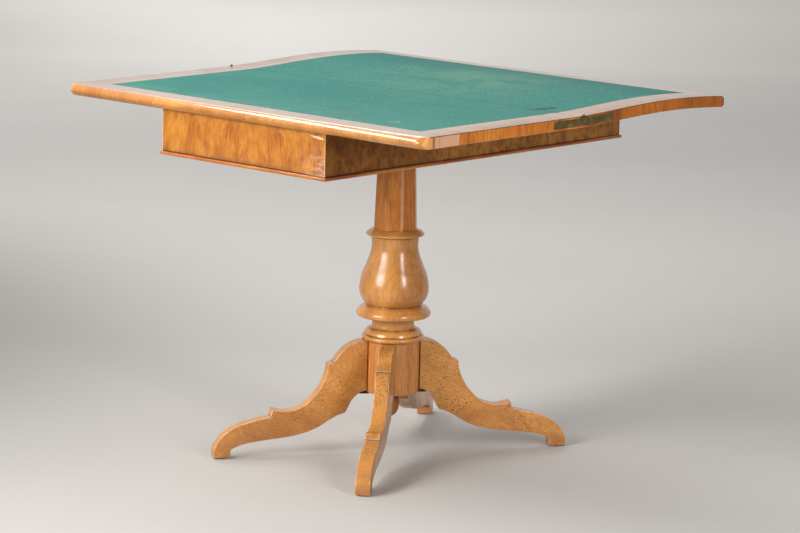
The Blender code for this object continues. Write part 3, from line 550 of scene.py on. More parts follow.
@dataclass(frozen=True)
class BoxVeneer(Wood):
    """Flame figured veneer in two matched leaves, with bloom and scratches near one corner."""

    seam_turn: float = 0.0
    seam_shift: float = 0.0
    bloom: float = 0.0
    bottom: float = 0.6408
    corner: tuple[float, float] = (0.44375, 0.21875)
    arris: float = 0.0012
    lift: float = 0.0
    smears: float = 0.65

    def from_seam(self, sheet: NodeSheet) -> Socket:
        """Return coordinates with X along the rail from the seam of its two leaves."""
        return sheet.laid(turn=(0.0, 0.0, self.seam_turn), shift=(self.seam_shift, 0.0, 0.0))

    def lay(self, sheet: NodeSheet) -> Socket:
        """Mirror the figure at the seam.

        Args:
            sheet: Board of the material.

        Returns:
            Coordinates with the grain along Z.
        """
        turned = self.from_seam(sheet)
        mirrored = sheet.maths("ABSOLUTE", sheet.axis("X", turned))
        joined = sheet.node("CombineXYZ", X=mirrored, Y=sheet.axis("Y", turned),
                            Z=sheet.axis("Z", turned)).outputs[0]
        return sheet.laid(joined, shift=self.heart)

    def age(self, sheet: NodeSheet) -> Socket:
        """Add a painted shadow line and highlight, a darker bottom band, the bloom and the
        scratches.

        Args:
            sheet: Board of the material.

        Returns:
            How dull the polish is.
        """
        along = sheet.axis("X", self.from_seam(sheet))
        height = sheet.axis("Z")
        sheet.stain((0.12, 0.045, 0.012), sheet.line(along, 0.0, 0.001), 0.5)
        # Darker towards the bottom of the rail, broken by noise.
        darker_low_band = sheet.all_of(sheet.between(height, self.bottom + 0.012, self.bottom + 0.001),
                             sheet.noise(70.0, 4.0, low=0.3, high=0.62), 0.55)
        sheet.stain((0.13, 0.065, 0.028), darker_low_band)
        # Painted shadow: a dark line along the bottom edge, where the rail meets the bead.
        sheet.stain((0.035, 0.014, 0.006), sheet.line(height, self.bottom, 0.0032), 0.9)
        wisps = sheet.noise(130.0, 4.0, 0.6, 1.0, low=0.52, high=0.74,
                            where=sheet.drawn_out(0.22))
        where = sheet.noise(18.0, 3.0, low=0.36, high=0.6)
        sheet.stain(self.tones[0], wisps, where, self.smears)
        if self.lift:
            sheet.stain((0.5, 0.23, 0.046), sheet.between(along, -0.21, -0.1),
                        sheet.between(along, 0.46, 0.42),
                        sheet.noise(44.0, 5.0, 0.6, 0.8, low=0.34, high=0.66,
                                    where=sheet.drawn_out(0.8)), self.lift)
        # Pale vertical corners: wear and a painted highlight.
        worn_and_highlit_arrises = [sheet.between(sheet.maths("ABSOLUTE", sheet.axis(which)), reach - self.arris,
                                reach - self.arris / 2)
                  for which, reach in zip("XY", self.corner)]
        sheet.stain((0.86, 0.6, 0.34), *worn_and_highlit_arrises, 0.8)
        if not self.bloom:
            return darker_low_band
        haze = sheet.all_of(sheet.between(along, 0.105, 0.185),
                            sheet.between(height, self.bottom + 0.068, self.bottom + 0.02),
                            sheet.noise(90.0, 5.0, 0.7, low=0.4, high=0.66,
                                        where=sheet.drawn_out(1.6, across=0.5)), self.bloom)
        sheet.stain((0.62, 0.56, 0.48), haze)
        for offset, start, end in ((0.0757, 0.15, 0.178), (0.0738, 0.156, 0.184),
                                   (0.0722, 0.166, 0.186)):
            sheet.stain((0.86, 0.78, 0.66), sheet.line(height, self.bottom + offset, 0.0008),
                        sheet.between(along, start, start + 0.003),
                        sheet.between(along, end, end - 0.003), 0.85)
        return haze


@dataclass(frozen=True)
class EdgeBand(Wood):
    """Short upright pieces of veneer round the edge of the top, joined end to end."""

    run: str = "Y"
    pitch: float = 0.09
    ticks: float = 0.5
    patch: tuple[float, float] | None = None

    def age(self, sheet: NodeSheet) -> Socket:
        """Add the blocks, joints, ticks, patch and its corner's wear and painted highlight.

        Args:
            sheet: Board of the material.

        Returns:
            How dull the polish is.
        """
        along = sheet.axis(self.run)
        tone, joint = sheet.blocks(along, self.pitch)
        sheet.stain(self.tones[1], sheet.between(tone, 0.1, 0.9, 0.0, 0.45), mode="MULTIPLY")
        sheet.stain(self.tones[3], sheet.between(tone, 0.75, 0.95, 0.0, 0.3))
        tick = sheet.noise(420.0, 2.0, 0.6, low=0.54, high=0.68, where=sheet.drawn_out(0.12))
        zone = sheet.noise(14.0, 2.0, low=0.4, high=0.62)
        sheet.stain(self.tones[0], tick, zone, self.ticks)
        if self.patch:
            start, end = self.patch
            near = sheet.between(sheet.axis("Y"), 0.1, -0.1)
            # Lighter towards the rounded corner: wear and a painted highlight.
            sheet.stain((0.74, 0.34, 0.115), sheet.between(along, start, start - 0.01), near,
                        0.85)
            sheet.stain((0.66, 0.4, 0.255), sheet.between(along, start - 0.0008, start + 0.0008),
                        sheet.between(along, end + 0.0008, end - 0.0008), near, 0.75)
            for place, depth in ((start, 0.35), (end, 0.6), (end + 0.066, 0.8)):
                sheet.stain((0.16, 0.07, 0.03), sheet.line(along, place, 0.0012), depth)
        sheet.stain((0.11, 0.04, 0.012), joint, 0.75)
        return sheet.all_of(tone, 0.4)


@dataclass(frozen=True)
class Border(Wood):
    """Cross laid veneer round the baize, in pieces with their grain towards the edge."""

    run: str = "Y"
    pitch: float = 0.16

    def age(self, sheet: NodeSheet) -> Socket:
        """Add the pieces and their joints.

        Args:
            sheet: Board of the material.

        Returns:
            How dull the polish is.
        """
        tone, joint = sheet.blocks(sheet.axis(self.run), self.pitch)
        sheet.stain(self.tones[0], sheet.between(tone, 0.1, 0.9, 0.0, 0.25))
        sheet.stain((0.13, 0.07, 0.04), joint, 0.25)
        worn = sheet.noise(9.0, 4.0, low=0.4, high=0.7)
        sheet.stain((0.48, 0.38, 0.3), worn, 0.25)
        return worn


@dataclass(frozen=True)
class Baize:
    """Worn green woollen cloth with lint, stains, painted shade in two folds and faded edges."""

    name: str
    fold_reach: float
    fresh: Colour = (0.027, 0.178, 0.148)
    faded: Colour = (0.096, 0.268, 0.208)
    olive: Colour = (0.12, 0.255, 0.175)
    brown: Colour = (0.17, 0.19, 0.09)
    deep: Colour = (0.01, 0.09, 0.09)
    shade: Colour = (0.012, 0.06, 0.05)
    # Ends of the painted shade along the short fold in the cloth.
    ruck_shade_line: tuple[Point, Point] = ((-0.03, -0.35, 0.0), (0.048, -0.378, 0.0))
    marks: tuple[tuple[Point, float, Colour], ...] = (
        ((-0.31, -0.155, 0.748), 0.045, (0.2, 0.16, 0.06)),
        ((-0.345, -0.304, 0.748), 0.022, (0.36, 0.5, 0.45)))

    def dress(self) -> bpy.types.Material:
        """Make the material.

        Returns:
            The finished material.
        """
        sheet = NodeSheet(self.name, self.fresh)
        across = (1.0, 0.5, 1.0)
        sheet.stain(self.faded, sheet.noise(5.0, 5.0, 0.6, 0.4, where=sheet.laid(scale=across)),
                    0.3)
        sheet.stain(self.olive, sheet.spot((0.23, -0.02, 0.75), 0.34, 0.1),
                    sheet.noise(12.0, 4.0, 0.6, low=0.3, high=0.65), 0.75)
        rim = sheet.between(sheet.maths("ABSOLUTE", sheet.axis("X")), self.fold_reach - 0.08,
                            self.fold_reach)
        sheet.stain(self.faded, rim, sheet.noise(22.0, 4.0, 0.6, low=0.3, high=0.7), 0.6)
        sheet.stain(self.deep, sheet.between(sheet.axis("X"), self.fold_reach - 0.16,
                                             self.fold_reach), 0.42)
        sheet.stain(self.brown, sheet.noise(8.0, 5.0, 0.65, low=0.6, high=0.74,
                                            where=sheet.laid(shift=(1.3, 0.4, 0.0))), 0.45)
        for centre, radius, tone in self.marks:
            broken = sheet.noise(150.0, 4.0, 0.7, low=0.45, high=0.65,
                                 where=sheet.laid(scale=(1.0, 0.6, 1.0)))
            sheet.stain(tone, sheet.spot(centre, radius, 0.1), broken, 0.75)
        # Painted shade along the fold of the top and along the short fold in the cloth.
        fold_shade = sheet.all_of(sheet.line(sheet.axis("X"), 0.0, 0.0035), 0.55)
        sheet.stain(self.shade, sheet.maths("MAXIMUM", fold_shade, self.ruck_shade(sheet)))
        nap = sheet.noise(420.0, 3.0, 0.7, where=sheet.laid(scale=across))
        sheet.stain((0.014, 0.1, 0.084), sheet.maths("MULTIPLY_ADD", nap, -0.36, 0.36))
        for scale, shift in ((320.0, 0.0), (210.0, 3.0)):
            fluff = sheet.laid(shift=(shift, 0.0, 0.0), scale=(1.0, 0.7, 1.0))
            sheet.stain((0.32, 0.5, 0.44), sheet.noise(scale, 0.0, low=0.71, high=0.8,
                                                       where=fluff), 0.26)
        return sheet.finish(0.95, nap, 0.0004, Sheen_Weight=0.04, Sheen_Roughness=0.5,
                            Specular_IOR_Level=0.1)

    def ruck_shade(self, sheet: NodeSheet) -> Socket:
        """Mark painted shade along the short fold in the cloth near the fold of the top.

        Args:
            sheet: Board of the material.

        Returns:
            A mask of it.
        """
        start, end = (Vector(point) for point in self.ruck_shade_line)
        length = (end - start).length
        slope = math.atan2(end.y - start.y, end.x - start.x)
        run = sheet.laid(sheet.laid(shift=(-start.x, -start.y, 0.0)), turn=(0.0, 0.0, -slope))
        return sheet.all_of(sheet.line(sheet.axis("Y", run), 0.0, 0.013),
                            sheet.between(sheet.axis("X", run), 0.0, 0.4 * length),
                            sheet.between(sheet.axis("X", run), length, 0.8 * length), 0.95)


@dataclass(frozen=True)
class Metal:
    """Old metal, duller and browner in its hollows."""

    name: str
    dark: Colour
    middle: Colour
    bright: Colour
    metallic: float

    def dress(self) -> bpy.types.Material:
        """Make the material.

        Returns:
            The finished material.
        """
        sheet = NodeSheet(self.name)
        cloud = sheet.noise(55.0, 4.0, 0.55, low=0.25, high=0.8)
        sheet.ramp(cloud, zip((0.1, 0.5, 0.95), (self.dark, self.middle, self.bright)))
        rough = sheet.maths("MULTIPLY_ADD", cloud, -0.2, 0.65)
        return sheet.finish(rough, cloud, 0.00002, Metallic=self.metallic)


@dataclass(frozen=True)
class StudioPaint:
    """Pale matt floor of the studio, with painted light and shade in its tone and small scuffs."""

    name: str
    turn: float
    near: float
    far: float
    # Distance and tone of each stop of the painted light and shade along the floor.
    painted_light_bands: tuple[tuple[float, float], ...]
    # Distance, side, radius and depth of each patch of painted shade.
    painted_shade_patches: tuple[tuple[float, float, float, float], ...]
    tint: Colour = (1.04, 1.0, 0.955)
    scuff: float = 0.16

    def dress(self) -> bpy.types.Material:
        """Make the material.

        Returns:
            The finished material.
        """
        sheet = NodeSheet(self.name)
        turned = sheet.laid(turn=(0.0, 0.0, -self.turn))
        share = sheet.node("MapRange", Value=sheet.axis("X", turned),
                           From_Min=self.near, From_Max=self.far).outputs[0]
        # Painted light and shade: the tone rises and falls with distance.
        sheet.ramp(share, [
            ((place - self.near) / (self.far - self.near), tuple(value * c for c in self.tint))
            for place, value in self.painted_light_bands])
        # Painted shade: soft dark spots on the floor.
        for distance, aside, radius, depth in self.painted_shade_patches:
            sheet.stain((0.0, 0.0, 0.0), sheet.spot((distance, -aside, 0.0), radius, 0.0, turned),
                        depth)
        cloud = sheet.noise(1.3, 5.0, 0.6)
        mark = sheet.noise(24.0, 4.0, 0.6, low=0.58, high=0.72,
                           where=sheet.laid(scale=(1.0, 1.6, 1.0)))
        worn = sheet.maths("MAXIMUM", sheet.all_of(cloud, 0.35), mark)
        sheet.stain((0.33, 0.3, 0.27), worn, self.scuff)
        return sheet.finish(0.85, Specular_IOR_Level=0.1)


def placed(name: str, data: bpy.types.ID) -> Piece:
    """Put a new object in the scene.

    Args:
        name: Its name.
        data: Its mesh, curve, light or camera.

    Returns:
        The new object.
    """
    made = bpy.data.objects.new(name, data)
    bpy.context.scene.collection.objects.link(made)
    return made


def evaluated(piece: Piece) -> Piece:
    """Return an object as its modifiers or curve make it."""
    bpy.context.view_layer.update()
    return piece.evaluated_get(bpy.context.evaluated_depsgraph_get())


def written(bm: Mesh, name: str) -> Piece:
    """Write a BMesh, which is freed, to a new object.

    Args:
        bm: The mesh.
        name: Name of the object.

    Returns:
        The new object.
    """
    mesh = bpy.data.meshes.new(name)
    bm.to_mesh(mesh)
    bm.free()
    return placed(name, mesh)


class Workshop:
    """Makes finished pieces from meshes and keeps one copy of each finish."""

    def __init__(self) -> None:
        """Start with no finishes made."""
        self.made: dict[str, bpy.types.Material] = {}

    def finish(self, kind: object) -> bpy.types.Material:
        """Make the material of a finish once for each name.

        Args:
            kind: The finish.

        Returns:
            Its material.
        """
        if kind.name not in self.made:
            self.made[kind.name] = kind.dress()
        return self.made[kind.name]

    def settle(self, bm: Mesh, name: str, body: Body, slot: Slot,
               finishes: Iterable[object], stands_for: Sequence[str],
               sharp: float = 35.0) -> Piece:
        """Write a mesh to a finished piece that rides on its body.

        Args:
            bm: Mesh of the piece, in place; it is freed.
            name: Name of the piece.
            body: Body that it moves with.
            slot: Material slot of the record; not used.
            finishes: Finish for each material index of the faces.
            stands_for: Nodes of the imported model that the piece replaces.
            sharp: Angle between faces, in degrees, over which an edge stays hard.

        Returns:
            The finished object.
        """
        bmesh.ops.recalc_face_normals(bm, faces=bm.faces)
        piece = written(bm, name)
        for kind in finishes:
            piece.data.materials.append(self.finish(kind))
        self.smooth(piece, sharp)
        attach(piece, body.value)
        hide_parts(*stands_for)
        LOG.info("%s: %d faces on %s", name, len(piece.data.polygons), body.value)
        return piece

    def smooth(self, piece: Piece, sharp: float) -> None:
        """Shade a piece smooth, with edges hard where faces turn by more than some degrees."""
        piece.data.shade_smooth()
        piece.data.set_sharp_from_angle(angle=math.radians(sharp))

    def repaint(self, nodes: Iterable[str], frame_nodes: dict, kind: object) -> None:
        """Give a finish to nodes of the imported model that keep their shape.

        Args:
            nodes: Names of the nodes.
            frame_nodes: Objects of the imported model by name.
            kind: The finish.
        """
        for node in nodes:
            piece = frame_nodes[node]
            piece.data.materials.clear()
            piece.data.materials.append(self.finish(kind))
            LOG.info("%s: packed shape, %s", node, kind.name)

    def carve(self, piece: Piece, cutters: Iterable[Mesh]) -> None:
        """Cut closed meshes out of a piece.

        Args:
            piece: Piece that is cut.
            cutters: Closed meshes; each is freed.
        """
        tools = []
        for number, bm in enumerate(cutters):
            bmesh.ops.recalc_face_normals(bm, faces=bm.faces)
            tool = written(bm, f"{piece.name}_cut_{number}")
            modifier = piece.modifiers.new(tool.name, "BOOLEAN")
            modifier.object = tool
            modifier.solver = "EXACT"
            tools.append(tool)
        shaped = bpy.data.meshes.new_from_object(evaluated(piece))
        piece.modifiers.clear()
        piece.data = shaped
        for tool in tools:
            bpy.data.objects.remove(tool, do_unlink=True)


def verts_in(geom: Iterable[object]) -> list[bmesh.types.BMVert]:
    """Return the vertices among some parts of a mesh."""
    return [item for item in geom if isinstance(item, bmesh.types.BMVert)]


def turned_mesh(profile: Profile, steps: int) -> Mesh:
    """Return a closed mesh turned about Z.

    Args:
        profile: Radius and height of each point, from one end on the axis to the other.
        steps: Number of faces round it.

    Returns:
        The new mesh.
    """
    bm = bmesh.new()
    verts = [bm.verts.new((radius, 0.0, height)) for radius, height in profile]
    edges = [bm.edges.new(pair) for pair in zip(verts, verts[1:])]
    bmesh.ops.spin(bm, geom=verts + edges, cent=(0, 0, 0), axis=(0, 0, 1), angle=math.tau,
                   steps=steps, use_merge=True)
    bmesh.ops.remove_doubles(bm, verts=bm.verts, dist=TINY)
    return bm


def box_mesh(low: Point, high: Point) -> Mesh:
    """Make a closed box.

    Args:
        low: Its corner with the lowest coordinates.
        high: Its opposite corner.

    Returns:
        The new mesh.
    """
    bm = bmesh.new()
    bmesh.ops.create_cube(bm, size=1.0)
    bmesh.ops.scale(bm, verts=bm.verts, vec=Vector(high) - Vector(low))
    bmesh.ops.translate(bm, verts=bm.verts, vec=(Vector(high) + Vector(low)) / 2)
    return bm


def slice_along(bm: Mesh, normal: Point, places: Iterable[float]) -> None:
    """Cut a mesh into strips by planes square to an axis.

    Args:
        bm: Mesh that is cut, and kept whole.
        normal: Unit vector of the axis.
        places: Distance of each plane along it.
    """
    for place in places:
        bmesh.ops.bisect_plane(bm, geom=[*bm.verts, *bm.edges, *bm.faces], dist=TINY / 10,
                               plane_co=Vector(normal) * place, plane_no=normal)


def round_edges(bm: Mesh, chosen: Callable[[bmesh.types.BMEdge], bool],
                width: float, segments: int) -> None:
    """Round some edges.

    Args:
        bm: Mesh that they belong to.
        chosen: Test that picks them.
        width: Distance from each edge to its rounded face.
        segments: Number of faces across each.
    """
    bmesh.ops.bevel(bm, geom=[edge for edge in bm.edges if chosen(edge)], offset=width,
                    affect="EDGES", segments=segments, profile=0.5, material=-1)


def turn_round(bm: Mesh, angle: float) -> None:
    """Turn a mesh about Z."""
    bmesh.ops.rotate(bm, verts=bm.verts, matrix=Matrix.Rotation(angle, 3, "Z"))


@dataclass
class TurnedColumn:
    """Drum, the drop under it, turned baluster and eight sided shaft."""

    shop: Workshop
    radius: float = 0.0757
    height: float = 0.2281
    foot: float = 0.2372
    tenon_radius: float = 0.02
    tenon_length: float = 0.0297
    shaft_foot: float = 0.4656
    shaft_head: float = 0.6156
    shaft_foot_radius: float = 0.0457
    shaft_head_radius: float = 0.0406
    shaft_turn: float = math.radians(14.5)
    shaft_sides: int = 8
    shaft_tenon_radius: float = 0.015
    shaft_tenon_length: float = 0.022
    ridge_rounding: float = 0.0026
    drum_radius: float = 0.055
    drum_bottom: float = 0.1283
    drum_top: float = 0.2369
    drum_arris: float = 0.0012
    housing_start: float = 0.0347
    housing_half_width: float = 0.0073
    housing_drop: float = 0.0097
    overrun: float = 0.004
    drop_radius: float = 0.0172
    drop_length: float = 0.0512
    drop_neck: float = 0.1252
    dowel_radius: float = 0.007
    dowel_top: float = 0.1503
    round_steps: int = 128
    drop_steps: int = 5
    vase_steps: int = 7
    drop_profile: tuple = (
        (0.7, 1.0), (0.69, 0.955), (0.66, 0.93), (0.8, 0.87), (0.97, 0.76), (1.0, 0.62),
        (0.96, 0.48), (0.85, 0.33), (0.8, 0.295), (0.79, 0.27), (0.73, 0.23), (0.48, 0.1),
        (0.0, 0.0))
    stretches: tuple = (
        ((0.601, 1.0), (0.72, 0.979), (0.783, 0.955), (0.74, 0.94), (0.655, 0.936)),
        ((0.655, 0.936), (0.627, 0.852), (0.665, 0.77), (0.765, 0.68), (0.884, 0.58),
         (0.94, 0.471), (0.908, 0.4), (0.83, 0.35), (0.746, 0.318)),
        ((0.752, 0.315), (0.88, 0.298), (0.984, 0.262), (1.0, 0.236), (0.94, 0.211),
         (0.608, 0.2)),
        ((0.573, 0.195), (0.568, 0.145), (0.577, 0.12)),
        ((0.661, 0.102), (0.75, 0.08), (0.786, 0.051)),
        ((0.766, 0.047), (0.84, 0.034), (0.845, 0.013), (0.812, 0.0)))

    def build(self) -> None:
        """Make the four turned pieces."""
        self.make_drop()
        self.make_baluster()
        self.make_shaft()
        self.make_drum()

    def settle(self, bm: Mesh, name: str, kind: Wood, node: str, sharp: float = 35.0) -> Piece:
        """Return a finished piece of the column in place of its node."""
        return self.shop.settle(bm, name, Body.BASE, Slot.TURNED, [kind], [node], sharp)

    def make_drop(self) -> None:
        """Make the drop with its dowel up into the drum."""
        profile: Profile = [(0.0, self.dowel_top), (self.dowel_radius, self.dowel_top),
                            (self.dowel_radius, self.drop_neck)]
        profile += [(radius * self.drop_radius, self.drop_neck + (height - 1) * self.drop_length)
                    for radius, height in smooth_through(self.drop_profile, self.drop_steps)]
        self.settle(turned_mesh(profile, self.round_steps // 2), "turned_drop", DROP_WOOD,
                    "drum_drop")

    def make_baluster(self) -> None:
        """Make the vase with its collar, flange and rings."""
        socket = self.shaft_tenon_radius + GAP
        top = self.shaft_foot - GAP
        bottom = top - self.shaft_tenon_length
        profile: Profile = [(0.0, bottom), (socket, bottom), (socket, top)]
        for stretch in self.stretches:
            profile += [(radius * self.radius, self.foot + height * self.height)
                        for radius, height in smooth_through(stretch, self.vase_steps)]
        tenon_foot = self.drum_top - self.tenon_length
        profile += [(self.tenon_radius, self.foot), (self.tenon_radius, tenon_foot),
                    (0.0, tenon_foot)]
        self.settle(turned_mesh(profile, self.round_steps), "turned_baluster", TURNED_WOOD,
                    "baluster")

    def make_shaft(self) -> None:
        """Make the tapered shaft with its eight flats and its two tenons."""
        bm = bmesh.new()
        length = self.shaft_head - self.shaft_foot
        turn = Matrix.Rotation(self.shaft_turn, 4, "Z")
        bmesh.ops.create_cone(bm, cap_ends=True, segments=self.shaft_sides, depth=length,
                              radius1=self.shaft_foot_radius, radius2=self.shaft_head_radius,
                              matrix=turn)
        round_edges(bm, lambda edge: abs(edge.verts[0].co.z - edge.verts[1].co.z) > length / 2,
                    self.ridge_rounding, LARGE_ROUND)
        bmesh.ops.translate(bm, verts=bm.verts,
                            vec=(0, 0, (self.shaft_head + self.shaft_foot) / 2))
        for height, way in ((self.shaft_head, 1), (self.shaft_foot, -1)):
            cap = [face for face in bm.faces if abs(face.calc_center_median().z - height) < TINY]
            bmesh.ops.inset_region(bm, faces=cap, thickness=self.shaft_head_radius / 2,
                                   use_even_offset=True)
            for vert in {vert for face in cap for vert in face.verts}:
                vert.co.xy = vert.co.xy.normalized() * self.shaft_tenon_radius
            raised = bmesh.ops.extrude_face_region(bm, geom=cap)["geom"]
            bmesh.ops.delete(bm, geom=[face for face in cap if face.is_valid], context="FACES")
            bmesh.ops.translate(bm, vec=(0, 0, self.shaft_tenon_length * way),
                                verts=verts_in(raised))
        self.settle(bm, "faceted_shaft", SHAFT_WOOD, "column_shaft", sharp=20.0)

    def make_drum(self) -> None:
        """Make the drum that houses the legs, with worn arrises."""
        arris = self.drum_arris
        socket = self.tenon_radius + GAP
        floor = self.drum_top - self.tenon_length - GAP
        piece = self.settle(turned_mesh(
            [(0.0, floor), (socket, floor), (socket, self.drum_top),
             (self.drum_radius - arris, self.drum_top), (self.drum_radius, self.drum_top - arris),
             (self.drum_radius, self.drum_bottom + arris),
             (self.drum_radius - arris, self.drum_bottom), (0.0, self.drum_bottom)],
            self.round_steps), "column_drum", DRUM_WOOD, "drum")
        top, hole = self.dowel_top + GAP, self.dowel_radius + GAP
        start = self.drum_bottom - self.overrun
        cutter = turned_mesh([(0.0, top), (hole, top), (hole, start), (0.0, start)],
                             self.round_steps // 4)
        self.shop.carve(piece, [*map(self.slot_cutter, LEG_ANGLES.values()), cutter])

    def slot_cutter(self, angle: float) -> Mesh:
        """Make the cutter for the housing of one leg's tenon.

        Args:
            angle: Bearing of the leg.

        Returns:
            The closed cutter.
        """
        bm = box_mesh((self.housing_start, -self.housing_half_width,
                       self.drum_bottom - self.overrun),
                      (self.drum_radius + self.overrun, self.housing_half_width,
                       self.drum_top - self.housing_drop))
        turn_round(bm, angle)
        return bm


@dataclass
class ScrollLegs:
    """Four legs sawn from boards, with rounded arrises."""

    shop: Workshop
    reach: float = 0.372
    rise: float = 0.2351
    sole: float = 0.0018
    thickness: float = 0.0292
    scribe_radius: float = 0.0553
    arris: float = 0.0016
    slices: int = 8
    curve_steps: int = 7
    outline: tuple = (
        (0.1487, 0.9985), (0.194, 0.996), (0.226, 0.978), (0.263, 0.946), (0.296, 0.899),
        (0.32, 0.851), (0.339, 0.81), (0.367, 0.802), (0.374, 0.722), (0.403, 0.61),
        (0.444, 0.52), (0.495, 0.443), (0.548, 0.406), (0.605, 0.393), (0.645, 0.403),
        (0.675, 0.411), (0.683, 0.35), (0.761, 0.322), (0.844, 0.288), (0.917, 0.232),
        (0.97, 0.153), (0.997, 0.06), (0.995, 0.0), (0.905, 0.0), (0.903, 0.067),
        (0.884, 0.086), (0.839, 0.112), (0.772, 0.133), (0.618, 0.161), (0.522, 0.187),
        (0.43, 0.236), (0.351, 0.31), (0.304, 0.348), (0.267, 0.368), (0.255, 0.404),
        (0.238, 0.46), (0.211, 0.512), (0.175, 0.548), (0.1487, 0.5565))
    corners: tuple = (0, 6, 7, 15, 16, 22, 23, 24, 33, 38)

    def build(self) -> None:
        """Make the four legs."""
        for name, angle in LEG_ANGLES.items():
            self.make_leg(name, angle)

    def side_view(self) -> Profile:
        """Draw a leg's outline smoothly between its corners.

        Returns:
            Its points in reach and height.
        """
        curve = bpy.data.curves.new("leg_outline", "CURVE")
        curve.dimensions = "2D"
        curve.resolution_u = self.curve_steps
        spline = curve.splines.new("BEZIER")
        spline.bezier_points.add(len(self.outline) - 1)
        for number, (x, z) in enumerate(self.outline):
            point = spline.bezier_points[number]
            point.co = (x * self.reach, self.sole + z * self.rise, 0.0)
            kind = "VECTOR" if number in self.corners else "AUTO"
            point.handle_left_type = point.handle_right_type = kind
        spline.use_cyclic_u = True
        holder = placed("leg_outline", curve)
        line = evaluated(holder).to_mesh()
        points = [(vert.co.x, vert.co.y) for vert in line.vertices]
        bpy.data.objects.remove(holder, do_unlink=True)
        kept = points[:1]
        for point in points:
            if math.dist(point, kept[-1]) > TINY:
                kept.append(point)
        return kept

    def make_leg(self, name: str, angle: float) -> None:
        """Make one leg, turned to its place round the drum.

        Args:
            name: Node that it replaces.
            angle: Bearing of the leg.
        """
        half = self.thickness / 2
        inner = self.scribe_radius + TINY
        bm = bmesh.new()
        side = bm.faces.new([bm.verts.new((x, -half, z)) for x, z in self.side_view()])
        raised = bmesh.ops.extrude_face_region(bm, geom=[side], use_keep_orig=True)["geom"]
        bmesh.ops.translate(bm, vec=(0, self.thickness, 0), verts=verts_in(raised))
        round_edges(bm, lambda edge: all(abs(abs(vert.co.y) - half) < TINY for vert in edge.verts)
                    and any(vert.co.x > inner for vert in edge.verts), self.arris, SMALL_ROUND)
        slice_along(bm, (0, 1, 0), [half * (2 * i / self.slices - 1)
                                    for i in range(1, self.slices)])
        for vert in bm.verts:
            if vert.co.x < inner:
                vert.co.x = math.sqrt(self.scribe_radius ** 2 - vert.co.y ** 2)
        turn_round(bm, angle)
        self.shop.settle(bm, "scroll_" + name, Body.BASE, Slot.VENEER,
                         [LEG_WOODS[name]], [name], sharp=30.0)


@dataclass(frozen=True)
class Bar:
    """Bar of the box along X with mitred ends, its outer face at a distance along Y."""

    half_length: float
    outer: float
    depth: float
    low: float
    high: float
    rounding: float
    segments: int

    def mesh(self, turn: float) -> Mesh:
        """Make the bar with its outer long edges rounded.

        Args:
            turn: Angle about Z to its side of the box.

        Returns:
            The new mesh.
        """
        reach = self.half_length - GAP * math.cos(math.pi / 4)
        bm = bmesh.new()
        bmesh.ops.create_cube(bm, size=1.0)
        for vert in bm.verts:
            inside = vert.co.y < 0
            vert.co.x *= 2 * (reach - self.depth if inside else reach)
            vert.co.y = self.outer - self.depth if inside else self.outer
            vert.co.z = self.high if vert.co.z > 0 else self.low
        round_edges(bm, self.is_outer, self.rounding, self.segments)
        turn_round(bm, turn)
        return bm

    def is_outer(self, edge: bmesh.types.BMEdge) -> bool:
        """Tell whether an edge is a long one of the outer face."""
        run = abs(edge.verts[0].co.x - edge.verts[1].co.x)
        return all(vert.co.y > self.outer - TINY for vert in edge.verts) and run > GAP


@dataclass
class VeneeredBox:
    """Shallow box under the top: mitred rails and beads."""

    shop: Workshop
    long_x: float = 0.44375
    long_y: float = 0.21875
    rail_thickness: float = 0.02
    rail_bottom: float = 0.6408
    rail_top: float = 0.7248
    rail_arris: float = 0.0008
    bead_height: float = 0.0065
    bead_projection: float = 0.0037
    bead_seat: float = 0.0125
    bead_rounding: float = 0.0026

    def build(self) -> None:
        """Make the four rails and the four beads."""
        out = self.bead_projection
        bead_top = self.rail_bottom - GAP
        for side, node, half_length, outer, turn in (
                ("back", "frieze_back_rail", self.long_x, self.long_y, 0.0),
                ("left", "frieze_left_end", self.long_y, self.long_x, math.pi / 2),
                ("front", "frieze_front_rail", self.long_x, self.long_y, math.pi),
                ("right", "frieze_right_end", self.long_y, self.long_x, -math.pi / 2)):
            rail = Bar(half_length, outer, self.rail_thickness, self.rail_bottom, self.rail_top,
                       self.rail_arris, SMALL_ROUND)
            bead = Bar(half_length + out, outer + out, self.bead_seat + out,
                       bead_top - self.bead_height, bead_top, self.bead_rounding, LARGE_ROUND)
            for bar, name, kind, stands_for in (
                    (rail, "veneered_", BOX_VENEERS, node),
                    (bead, "moulded_bead_", BEAD_WOODS, "bead_" + side)):
                self.shop.settle(bar.mesh(turn), name + side, Body.BASE, Slot.VENEER,
                                 [kind[side]], [stands_for])


